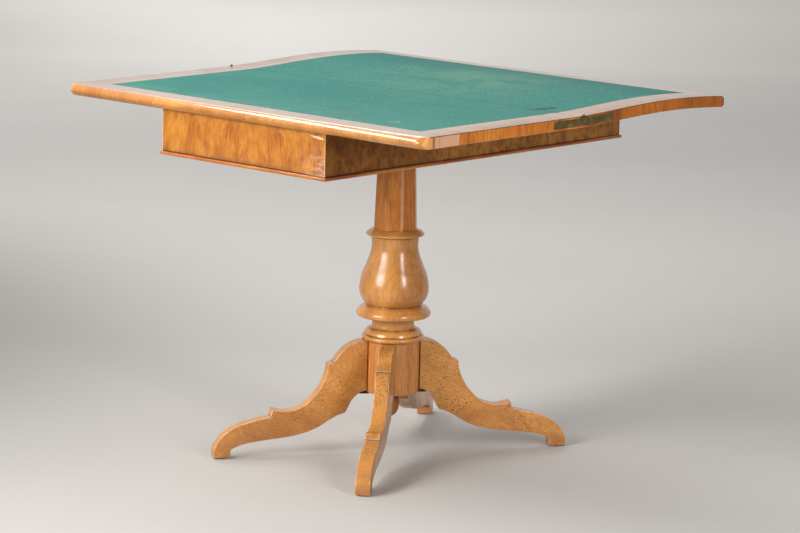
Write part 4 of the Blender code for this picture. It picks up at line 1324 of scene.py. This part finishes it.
@dataclass
class Leaf:
    """One leaf of the top: banded slab with a baize panel."""

    shop: Workshop
    half: Half
    body: Body
    end_band: EdgeBand
    width: float = 0.463
    end: float = 0.4775
    thickness: float = 0.0225
    bottom: float = 0.7251
    border: float = 0.062
    border_steps: int = 5
    recess: float = 0.0013
    nose: float = 0.0105
    nose_flat: float = 0.55
    nose_steps: int = 7
    nose_margin: float = 0.0008
    under_share: float = 0.9
    end_arris: float = 0.0014
    fold_arris: float = 0.0003
    corner: float = 0.02
    corner_steps: int = 12
    crown_height: float = 0.009
    crown_skew: float = 1.25
    crown_steps: int = 28
    strap_length: float = 0.0903
    strap_half_height: float = 0.00755
    strap_depth: float = 0.0033
    tongue: float = 0.0123
    eye_radius: float = 0.0034
    eye_steps: int = 24
    clear: float = 0.004
    cloth: float = 0.001
    cloth_steps: tuple[int, int] = (90, 180)
    ruck_height: float = 0.0003
    ruck_place: tuple[float, float] = (0.016, -0.36)
    ruck_reach: tuple[float, float] = (0.004, 0.1)
    ruck_slant: float = 0.01

    @property
    def top(self) -> float:
        """Height of the leaf's surface at the fold."""
        return self.bottom + self.thickness

    def crown(self, x: float) -> float:
        """Work out how far the leaf stands proud of flat.

        Args:
            x: Distance from the fold.

        Returns:
            The height that is added there.
        """
        if self.half is Half.FLAP:
            return 0.0
        share = min(max(abs(x) / self.width, 0.0), 1.0)
        return self.crown_height * math.sin(math.pi * share ** self.crown_skew)

    def plan(self) -> list[tuple[Vector, Vector, float]]:
        """Return the outline from above.

        Returns:
            For each point its place, its unit outward direction and the rounding of its edge.
        """
        points = []
        for side in (-1, 1):
            centre = Vector((self.width - self.corner, side * (self.end - self.corner)))
            arc = [(Vector((GAP / 2, side * self.end)), Vector((0, side)), self.end_arris)]
            for i in range(self.corner_steps + 1):
                angle = math.pi / 2 * i / self.corner_steps
                out = Vector((math.sin(angle), side * math.cos(angle)))
                rounding = self.end_arris + (self.nose - self.end_arris) * math.sin(angle)
                arc.append((centre + out * self.corner, out, rounding))
            points += arc if side < 0 else arc[::-1]
        return points + [(Vector((GAP / 2, side * (self.end - self.end_arris))), Vector((-1, 0)),
                          self.fold_arris) for side in (1, -1)]

    def nosing(self) -> list[tuple[float, float, int]]:
        """Return the softened section of the edge, from the top round to the underside.

        Returns:
            For each ring its share of the rounding outwards and upwards, and its side.
        """
        rings = []
        flat = self.nose_flat
        for share in (i / self.nose_steps for i in range(self.nose_steps + 1)):
            angle = math.pi / 2 * share
            rings.append(((1 - flat) * math.sin(angle) + flat * share,
                          (1 - flat) * math.cos(angle) + flat * (1 - share), 1))
        return rings + [(lower, upper, -1) for lower, upper, _ in rings[::-1]]

    def slab(self) -> Mesh:
        """Make the leaf's solid with its rounded edges, before its bend.

        Returns:
            The new mesh.
        """
        plan = self.plan()
        rings = self.nosing()
        bm = bmesh.new()
        place = bm.verts.layers.int.new("place")
        verts = [bm.verts.new() for _ in plan]
        for number, vert in enumerate(verts):
            vert[place] = number
        edges = [bm.edges.new((a, b)) for a, b in zip(verts, [*verts[1:], verts[0]])]
        for ring, (lower, upper, side) in enumerate(rings):
            if ring:
                geom = bmesh.ops.extrude_edge_only(bm, edges=edges)["geom"]
                verts = verts_in(geom)
                edges = [item for item in geom if isinstance(item, bmesh.types.BMEdge)
                         and set(item.verts) <= set(verts)]
            for vert in verts:
                spot, out, rounding = plan[vert[place]]
                if side < 0 and out.x >= 0:
                    rounding = max(rounding * self.under_share, self.end_arris)
                inset = rounding * (1 - lower)
                depth = rounding * (1 - upper)
                height = self.top - depth if side > 0 else self.bottom + depth
                vert.co = (spot.x - out.x * inset, spot.y - out.y * inset, height)
            if ring in (0, len(rings) - 1):
                bmesh.ops.contextual_create(bm, geom=edges)
        return bm

    def band(self, bm: Mesh) -> None:
        """Cut the surface into border and panel, and give each face its finish by number.

        Args:
            bm: Unbent leaf, cut in place. Numbers are 0 core, underside and sunk panel, 1 border
                along the long edge, 2 border along the ends, 3 nosing, 4 end faces, 5 panel
                until it is sunk and then its edge, and 6 dark line at the upper arris of the ends.
        """
        panel_x = self.width - self.border
        panel_y = self.end - self.border
        slice_along(bm, (1, 0, 0), [panel_x])
        slice_along(bm, (0, 1, 0), [-panel_y, panel_y])
        slice_along(bm, (1, 0, 0), [
            *(panel_x * i / self.crown_steps for i in range(1, self.crown_steps)),
            *(panel_x + self.border * i / self.border_steps
              for i in range(1, self.border_steps - 1)),
            self.width - self.nose - self.nose_margin])
        for side in (-1, 1):
            corner = [face for face in bm.faces if face.normal.z > 0.5
                      and face.calc_center_median().x > panel_x
                      and face.calc_center_median().y * side > panel_y]
            geom = [*{v for f in corner for v in f.verts}, *{e for f in corner for e in f.edges},
                    *corner]
            bmesh.ops.bisect_plane(bm, geom=geom, dist=TINY / 10,
                                   plane_co=(panel_x, side * panel_y, 0),
                                   plane_no=Vector((1, -side, 0)).normalized())
        bm.normal_update()
        for face in bm.faces:
            face.material_index = self.number_of(face.normal, face.calc_center_median())
        panel = [face for face in bm.faces if face.material_index == 5]
        bmesh.ops.inset_region(bm, faces=panel, thickness=TINY, depth=-self.recess,
                               use_even_offset=True)
        for face in panel:
            face.material_index = 0

    def number_of(self, normal: Vector, middle: Vector) -> int:
        """Choose the finish of a face of the unbent leaf.

        Args:
            normal: Direction of the face.
            middle: Middle of the face.

        Returns:
            The number of the finish.
        """
        if normal.z > 0.985:
            past_x = middle.x - (self.width - self.border)
            past_y = abs(middle.y) - (self.end - self.border)
            if past_x < 0 and past_y < 0:
                return 5
            return 1 if past_x > past_y else 2
        if normal.z < -0.97 or normal.x < -0.5:
            return 0
        if abs(normal.x) > abs(normal.y):
            return 3
        return 6 if normal.z > 0.4 and middle.x < self.width - self.corner else 4

    def make_slab(self, name: str, node: str) -> None:
        """Make the finished leaf with mortises for its hinge straps.

        Args:
            name: Name of the piece.
            node: Node that it replaces.
        """
        bm = self.slab()
        bmesh.ops.recalc_face_normals(bm, faces=bm.faces)
        self.band(bm)
        self.bend(bm)
        piece = self.shop.settle(bm, name, self.body, Slot.VENEER,
                                 [UNDERSIDE, BORDER_OUTER, BORDER_END, NOSE_BAND, self.end_band,
                                  UNDERSIDE, ARRIS], [node], sharp=40.0)
        self.shop.carve(piece, [cutter for side in (-1, 1) for cutter in self.mortise(side)])
        self.shop.smooth(piece, 40.0)

    def bend(self, bm: Mesh) -> None:
        """Lift a mesh by the crown of the leaf and put it on its own side of the fold.

        Args:
            bm: Unbent mesh, changed in place.
        """
        for vert in bm.verts:
            vert.co.z += self.crown(vert.co.x)
            vert.co.x *= self.half.value
        if self.half is Half.FLAP:
            bmesh.ops.reverse_faces(bm, faces=bm.faces)

    def mortise(self, side: int) -> list[Mesh]:
        """Make the cutters for one hinge strap in the end of the leaf.

        Args:
            side: End of the leaf, -1 for the near and 1 for the far one.

        Returns:
            Cutters for the strap, its tongue and its eye.
        """
        middle = self.top - self.thickness / 2
        outer = side * (self.end + self.clear)
        inner = side * (self.end - self.strap_depth)
        low, high = sorted((inner, outer))
        bed = box_mesh((-self.clear, low, middle - self.strap_half_height),
                       (self.strap_length, high, middle + self.strap_half_height))
        slice_along(bed, (1, 0, 0), [self.strap_length * i / 4 for i in (1, 2, 3)])
        throat = box_mesh((-self.clear, low, middle), (self.tongue, high, self.top + self.clear))
        for bm in (bed, throat):
            self.bend(bm)
        eye = bmesh.new()
        matrix = Matrix.Translation((0, (inner + outer) / 2, self.top + GAP)) @ Matrix.Rotation(
            math.pi / 2, 4, "X")
        bmesh.ops.create_cone(eye, cap_ends=True, segments=self.eye_steps, depth=high - low,
                              radius1=self.eye_radius, radius2=self.eye_radius, matrix=matrix)
        return [bed, throat, eye]

    def make_baize(self, name: str, node: str) -> None:
        """Make the thin cloth panel, a little uneven where it has worked loose.

        Args:
            name: Name of the piece.
            node: Node that it replaces.
        """
        long_x = self.width - self.border - GAP
        long_y = self.end - self.border - GAP
        seat = self.top - self.recess + GAP
        bm = bmesh.new()
        bmesh.ops.create_grid(bm, x_segments=self.cloth_steps[0], y_segments=self.cloth_steps[1],
                              size=0.5)
        for vert in bm.verts:
            x = GAP / 2 + (vert.co.x + 0.5) * (long_x - GAP / 2)
            y = vert.co.y * 2 * long_y
            vert.co = (x, y, seat + self.cloth + self.ripple(x, y))
        raised = bmesh.ops.extrude_face_region(bm, geom=bm.faces[:], use_keep_orig=True)["geom"]
        for vert in verts_in(raised):
            vert.co.z = seat
        self.bend(bm)
        piece = self.shop.settle(bm, name, self.body, Slot.BAIZE, [BAIZE_CLOTH], [node])

    def ripple(self, x: float, y: float) -> float:
        """Work out how far the cloth stands up.

        Args:
            x: Distance from the fold.
            y: Distance along it.

        Returns:
            The height in metres.
        """
        if self.half is Half.MAIN:
            return 0.0
        along = (y - self.ruck_place[1]) / self.ruck_reach[1]
        off = (x - self.ruck_place[0] - self.ruck_slant * along) / self.ruck_reach[0]
        return self.ruck_height * math.exp(-off ** 2) * math.exp(-along * along)


@dataclass
class Screws:
    """Slotted screws of the edge hinges and of the tie plate."""

    shop: Workshop
    head_radius: float = 0.0034
    head_depth: float = 0.002
    shank_radius: float = 0.0017
    length: float = 0.016
    slot_width: float = 0.0007
    slot_depth: float = 0.0006
    strap_length: float = 0.09
    strap_shares: tuple = (0.5, 0.8)
    plate_reach: float = 0.046
    plate_face: float = 0.1255
    turn: float = 0.3
    turn_step: float = 0.9
    round_steps: int = 24

    def make_screw(self, node: str, seat: Point, direction: Point, body: Body,
                   kind: Metal) -> None:
        """Make a countersunk screw with a slotted head, its slot turned on from the last one.

        Args:
            node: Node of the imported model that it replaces.
            seat: Middle of its head.
            direction: Unit vector along its shank, into the work.
            body: Body that it moves with.
            kind: Finish of the screw.
        """
        self.turn += self.turn_step
        bm = turned_mesh([(0.0, 0.0), (self.head_radius, 0.0),
                          (self.shank_radius, -self.head_depth),
                          (self.shank_radius, -self.length),
                          (0.0, -self.length - self.shank_radius)], self.round_steps)
        away = (-Vector(direction)).to_track_quat("Z", "Y").to_matrix().to_4x4()
        matrix = Matrix.Translation(seat) @ away @ Matrix.Rotation(self.turn, 4, "Z")
        bmesh.ops.transform(bm, matrix=matrix, verts=bm.verts)
        piece = self.shop.settle(bm, node + "_slotted", body, Slot.BRASS, [kind], [node])
        half = self.slot_width / 2
        cutter = box_mesh((-2 * self.head_radius, -half, -self.slot_depth),
                          (2 * self.head_radius, half, self.slot_depth))
        bmesh.ops.transform(cutter, matrix=matrix, verts=cutter.verts)
        self.shop.carve(piece, [cutter])

    def build(self, main: Leaf, flap: Leaf) -> None:
        """Make every screw of the two hinges and the plate.

        Args:
            main: Leaf that stays on the swivel.
            flap: Leaf that folds.
        """
        for end, side in (("near", -1), ("far", 1)):
            for leaf, half in ((main, "main"), (flap, "flap")):
                for number, share in enumerate(self.strap_shares, 1):
                    x = self.strap_length * share
                    z = leaf.top + leaf.crown(x) - leaf.thickness / 2
                    self.make_screw(f"hinge_{end}_{half}_screw_{number}",
                                    (leaf.half.value * x, side * leaf.end, z), (0, -side, 0),
                                    leaf.body, BRASS)
        for name, angle in LEG_ANGLES.items():
            x, y = self.plate_reach * math.cos(angle), self.plate_reach * math.sin(angle)
            self.make_screw(name.replace("leg_", "leg_plate_screw_"), (x, y, self.plate_face),
                            (0, 0, 1), Body.BASE, IRON)


@dataclass
class Lamp:
    """Soft rectangular light, placed by its bearing, distance and height and aimed at a point."""

    name: str
    bearing: float
    distance: float
    height: float
    size: tuple[float, float]
    power: float
    aim: Point = (0.0, 0.0, 0.55)
    mirrored: bool = True

    def build(self) -> None:
        """Hang the light."""
        angle = math.radians(self.bearing)
        place = Vector((self.distance * math.cos(angle), self.distance * math.sin(angle),
                        self.height))
        lamp = bpy.data.lights.new(self.name, "AREA")
        lamp.shape = "RECTANGLE"
        lamp.size, lamp.size_y = self.size
        lamp.energy = self.power
        lamp.color = (1.0, 0.985, 0.96)
        light = placed(self.name, lamp)
        light.location = place
        light.rotation_euler = (Vector(self.aim) - place).to_track_quat("-Z", "Y").to_euler()
        light.visible_camera = False
        light.visible_glossy = self.mirrored
        LOG.info("%s: %.0f W", self.name, self.power)


@dataclass
class Studio:
    """Floor, lights and camera."""

    shop: Workshop
    eye: Point = (-4.6417, -4.1749, 1.57209)
    azimuth: float = math.radians(41.867)
    pitch: float = math.radians(10.756)
    roll: float = math.radians(1.3846)
    focal: float = 3130.19
    image_width: float = 800.0
    sensor_width: float = 36.0
    floor_size: float = 30.0
    air: Colour = (0.95, 0.97, 1.0)
    bright_side: Point = (0.5, 0.62, 0.56)
    dim: float = 0.1
    bright: float = 0.8
    lamps: tuple[Lamp, ...] = (
        Lamp("key", 171.0, 3.9, 2.0, (1.9, 2.3), 200.0),
        Lamp("fill", 257.0, 3.6, 1.7, (0.65, 1.6), 70.0),
        Lamp("streak", 129.5, 1.86, 2.5, (1.3, 0.28), 40.0, (-0.46, -0.27, 0.745)),
        Lamp("rear", 60.0, 2.8, 3.4, (1.8, 1.4), 50.0),
        Lamp("backdrop", 41.9, 8.0, 4.2, (4.0, 3.0), 250.0, (7.5, 6.7, 0.0), mirrored=False))

    def build(self) -> None:
        """Make the floor, the lights, the surrounding light and the camera."""
        self.make_floor()
        for lamp in self.lamps:
            lamp.build()
        self.make_air()
        bpy.context.scene.view_settings.view_transform = "Standard"
        self.make_camera()

    def make_air(self) -> None:
        """Surround the studio with soft light that is stronger from one side."""
        world = bpy.data.worlds.new("studio_air")
        board = NodeBoard(world)
        facing = board.maths("DOT_PRODUCT", board.node("TexCoord").outputs["Generated"],
                             Vector(self.bright_side).normalized(), kind="VectorMath")
        strength = board.node("MapRange", Value=facing, From_Min=-0.3, From_Max=1.0,
                              To_Min=self.dim, To_Max=self.bright).outputs[0]
        air = board.tree.nodes["Background"]
        board.feed(air.inputs["Color"], self.air)
        board.feed(air.inputs["Strength"], strength)
        bpy.context.scene.world = world

    def make_floor(self) -> None:
        """Make the pale floor."""
        bm = bmesh.new()
        bmesh.ops.create_grid(bm, x_segments=4, y_segments=4, size=self.floor_size)
        floor = written(bm, "studio_floor")
        floor.data.materials.append(self.shop.finish(STUDIO_FLOOR))

    def make_camera(self) -> None:
        """Make the camera, at the photograph's place and angle."""
        lens = bpy.data.cameras.new("camera")
        lens.sensor_width = self.sensor_width
        lens.lens = self.focal / self.image_width * lens.sensor_width
        lens.sensor_fit = "HORIZONTAL"
        forward = Vector((math.cos(self.azimuth) * math.cos(self.pitch),
                          math.sin(self.azimuth) * math.cos(self.pitch), -math.sin(self.pitch)))
        right = Vector((math.sin(self.azimuth), -math.cos(self.azimuth), 0.0))
        up = right.cross(forward)
        across = right * math.cos(self.roll) + up * math.sin(self.roll)
        upright = up * math.cos(self.roll) - right * math.sin(self.roll)
        camera = placed("camera", lens)
        turned = Matrix((across, upright, -forward)).transposed()
        camera.matrix_world = Matrix.Translation(self.eye) @ turned.to_4x4()
        bpy.context.scene.camera = camera


LEG_ANGLES: dict[str, float] = {
    "leg_left": math.radians(180 - 33.9),
    "leg_front": math.radians(180 + 33.9),
    "leg_right": math.radians(-33.9),
    "leg_back": math.radians(30.0),
}

# Painted shade lines sit at the heights of the grooves.
TURNED_WOOD = TurnedWood(
    "turned_wood", polish=0.21, streaks=0.14, rings=0.1, clouds=0.35,
    grooves=(0.4507, 0.31, 0.2832, 0.2608, 0.2482),
    holes=((-0.025, -0.064, 0.327), (-0.055, -0.043, 0.34), (-0.01, -0.058, 0.39)))
SHAFT_WOOD = ShaftWood(
    "shaft_wood", heart=(-0.09, -0.03, 0.2), clouds=0.45, streaks=0.3, polish=0.2, gloss=0.6,
    tones=((0.16, 0.042, 0.005), (0.32, 0.094, 0.011), (0.43, 0.138, 0.019),
           (0.53, 0.205, 0.042)))
DRUM_WOOD = Wood(
    "drum_wood", heart=(0.02, 0.16, 0.4), ring_pitch=0.018, streaks=0.34, pores=0.5,
    cloud_stretch=0.15,
    tones=((0.235, 0.072, 0.014), (0.42, 0.152, 0.031), (0.55, 0.215, 0.05),
           (0.67, 0.29, 0.09)))
DROP_WOOD = Wood(
    "drop_wood", heart=(0.3, 0.1, 0.2), clouds=0.35, rings=0.15, streaks=0.2, gloss=0.4,
    tones=((0.15, 0.05, 0.01), (0.28, 0.1, 0.02), (0.38, 0.15, 0.034),
           (0.47, 0.21, 0.06)))
# Each leg's tones are scaled by its own gain: painted light, lit and shaded copies of one wood.
LEG_WOODS = {
    name: LegWood("wood_of_" + name, turn=(0.0, math.radians(58), -angle), angle=angle,
                  heart=(0.03 * number, 0.18, 0.1), specks=speck, clouds=0.3, cloud_stretch=0.3,
                  rings=0.1, streaks=0.16, gloss=0.7, polish=0.2,
                  tones=tuple(tuple(lift * part for part in tone) for tone in Wood.tones))
    for number, ((name, angle), (speck, lift)) in enumerate(
        zip(LEG_ANGLES.items(), ((0.45, 0.97), (0.85, 0.96), (0.8, 1.2), (0.5, 0.95))))
}

FLAME = {"tones": ((0.185, 0.048, 0.005), (0.35, 0.112, 0.011), (0.455, 0.168, 0.018),
                   (0.56, 0.235, 0.036)),
         "clouds": 0.42, "cloud_size": 0.034, "cloud_stretch": 0.6, "warp": 0.09,
         "rings": 0.1, "streaks": 0.22, "seam_turn": math.pi / 2, "gloss": 0.6, "polish": 0.25}
DARK_FLAME = ((0.085, 0.026, 0.004), (0.185, 0.06, 0.008), (0.275, 0.106, 0.014),
              (0.375, 0.175, 0.032))
BOX_VENEERS = {
    "left": BoxVeneer("left_veneer", heart=(0.21, 0.4, 0.13), seam_shift=-0.03, bloom=0.35,
                      relief=0.00002, **FLAME),
    "right": BoxVeneer("right_veneer", heart=(0.61, 0.4, 0.13), **FLAME),
    "front": BoxVeneer("front_veneer", tones=DARK_FLAME, clouds=0.36, cloud_size=0.024,
                       cloud_stretch=0.9, warp=0.09, rings=0.06, streaks=0.14,
                       heart=(0.35, 0.1, 0.31), gloss=0.1, polish=0.25, lift=0.56),
    "back": BoxVeneer("back_veneer", tones=DARK_FLAME, clouds=0.85, cloud_size=0.05,
                      cloud_stretch=0.4, warp=0.06, rings=0.15, streaks=0.35,
                      heart=(0.85, 0.1, 0.31), gloss=0.6, polish=0.25),
}
BEAD_WOODS = {
    name: Wood("bead_wood_" + name, turn=grain.value, gloss=0.7,
               tones=((0.18, 0.046, 0.008), (0.34, 0.09, 0.014), (0.44, 0.14, 0.024),
                      (0.54, 0.21, 0.048)))
    for name, grain in (("left", Grain.ALONG_Y), ("right", Grain.ALONG_Y),
                        ("front", Grain.ALONG_X), ("back", Grain.ALONG_X))
}

BORDER_OUTER, BORDER_END = (
    Border(name, turn=grain.value, run=run, polish=0.22, relief=0.00001, streaks=0.15, rings=0.08,
           clouds=0.35, tones=((0.25, 0.13, 0.07), (0.32, 0.185, 0.105),
                               (0.385, 0.235, 0.142), (0.45, 0.3, 0.195)))
    for name, grain, run in (("border_outer", Grain.ALONG_X, "Y"),
                             ("border_end", Grain.ALONG_Y, "X")))
NOSE_BAND = EdgeBand(
    "nose_band", polish=0.12, ticks=0.35, pitch=0.12, relief=0.00002, streaks=0.12, clouds=0.35,
    tones=((0.22, 0.07, 0.01), (0.4, 0.15, 0.024), (0.51, 0.215, 0.04),
           (0.6, 0.29, 0.068)))
FLAP_END_BAND = EdgeBand(
    "flap_end_band", run="X", ticks=0.75, patch=(-0.43, -0.361), pitch=0.1, gloss=0.3,
    polish=0.25, tones=((0.2, 0.046, 0.005), (0.42, 0.112, 0.011), (0.56, 0.172, 0.019),
                        (0.66, 0.24, 0.036)))
MAIN_END_BAND = EdgeBand(
    "main_end_band", run="X", ticks=0.95, pitch=0.13, gloss=0.3, polish=0.25,
    tones=((0.11, 0.026, 0.004), (0.33, 0.086, 0.008), (0.49, 0.148, 0.013),
           (0.59, 0.205, 0.024)))
ARRIS = Wood("dark_arris", gloss=0.4, tones=((0.06, 0.022, 0.008), (0.11, 0.042, 0.014),
                                             (0.16, 0.064, 0.02), (0.24, 0.105, 0.036)))
UNDERSIDE = Wood("underside_veneer", turn=Grain.ALONG_Y.value, gloss=0.0, roughness=0.6,
                 tones=((0.12, 0.05, 0.018), (0.22, 0.1, 0.036), (0.3, 0.145, 0.056),
                        (0.38, 0.2, 0.085)))
CARCASE = Wood("carcase_wood", turn=Grain.ALONG_X.value, gloss=0.0, roughness=0.7,
               tones=((0.15, 0.08, 0.035), (0.26, 0.15, 0.07), (0.34, 0.205, 0.1),
                      (0.43, 0.275, 0.145)))
BAIZE_CLOTH = Baize("baize_cloth", fold_reach=0.401)
BRASS = Metal("old_brass", (0.085, 0.06, 0.018), (0.14, 0.102, 0.032), (0.26, 0.19, 0.06),
              metallic=0.5)
IRON = Metal("dull_iron", (0.02, 0.017, 0.015), (0.055, 0.045, 0.038), (0.11, 0.07, 0.04),
             metallic=0.6)
# The floor's changes of tone and its dark spots are painted light and shade.
STUDIO_FLOOR = StudioPaint(
    "studio_floor", turn=math.radians(41.867), near=-4.0, far=12.0,
    painted_light_bands=((-4.0, 0.465), (-0.3, 0.466), (0.3, 0.445), (1.0, 0.435), (1.7, 0.492), (2.6, 0.544),
           (4.2, 0.605), (6.5, 0.75), (9.0, 0.527), (12.0, 0.33)),
    painted_shade_patches=((0.38, -1.65, 2.07, 0.5), (6.84, 2.31, 5.0, 0.5), (6.91, -2.97, 2.78, 0.5),
             (1.45, -1.88, 1.8, 0.5)))

IRON_NODES = ("glide", "pivot_bolt", "pivot_nut", "pivot_plate", "pivot_washer", "leg_plate")
CARCASE_NODES = ("glue", "pivot_rail", "well", "column_bearer", "stop_peg")


def main() -> None:
    """Build the table piece by piece, then the studio."""
    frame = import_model()
    shop = Workshop()
    TurnedColumn(shop).build()
    ScrollLegs(shop).build()
    VeneeredBox(shop).build()
    main_leaf = Leaf(shop, Half.MAIN, Body.MAIN, MAIN_END_BAND)
    flap_leaf = Leaf(shop, Half.FLAP, Body.FLAP, FLAP_END_BAND)
    for leaf, name in ((main_leaf, "main"), (flap_leaf, "flap")):
        leaf.make_slab(name + "_leaf_banded", name + "_leaf")
        leaf.make_baize(name + "_baize_cloth", name + "_baize")
    Screws(shop).build(main_leaf, flap_leaf)
    nodes = frame["nodes"]
    shop.repaint([name for name in nodes if "strap" in name or "pin" in name], nodes, BRASS)
    shop.repaint([name for name in nodes if name.startswith(IRON_NODES)
                  and not name.startswith("leg_plate_screw")], nodes, IRON)
    shop.repaint([name for name in nodes if name.startswith(CARCASE_NODES)], nodes, CARCASE)
    Studio(shop).build()
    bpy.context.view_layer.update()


if __name__ == "__main__":
    logging.basicConfig(level=logging.INFO, format="%(message)s")
    main()
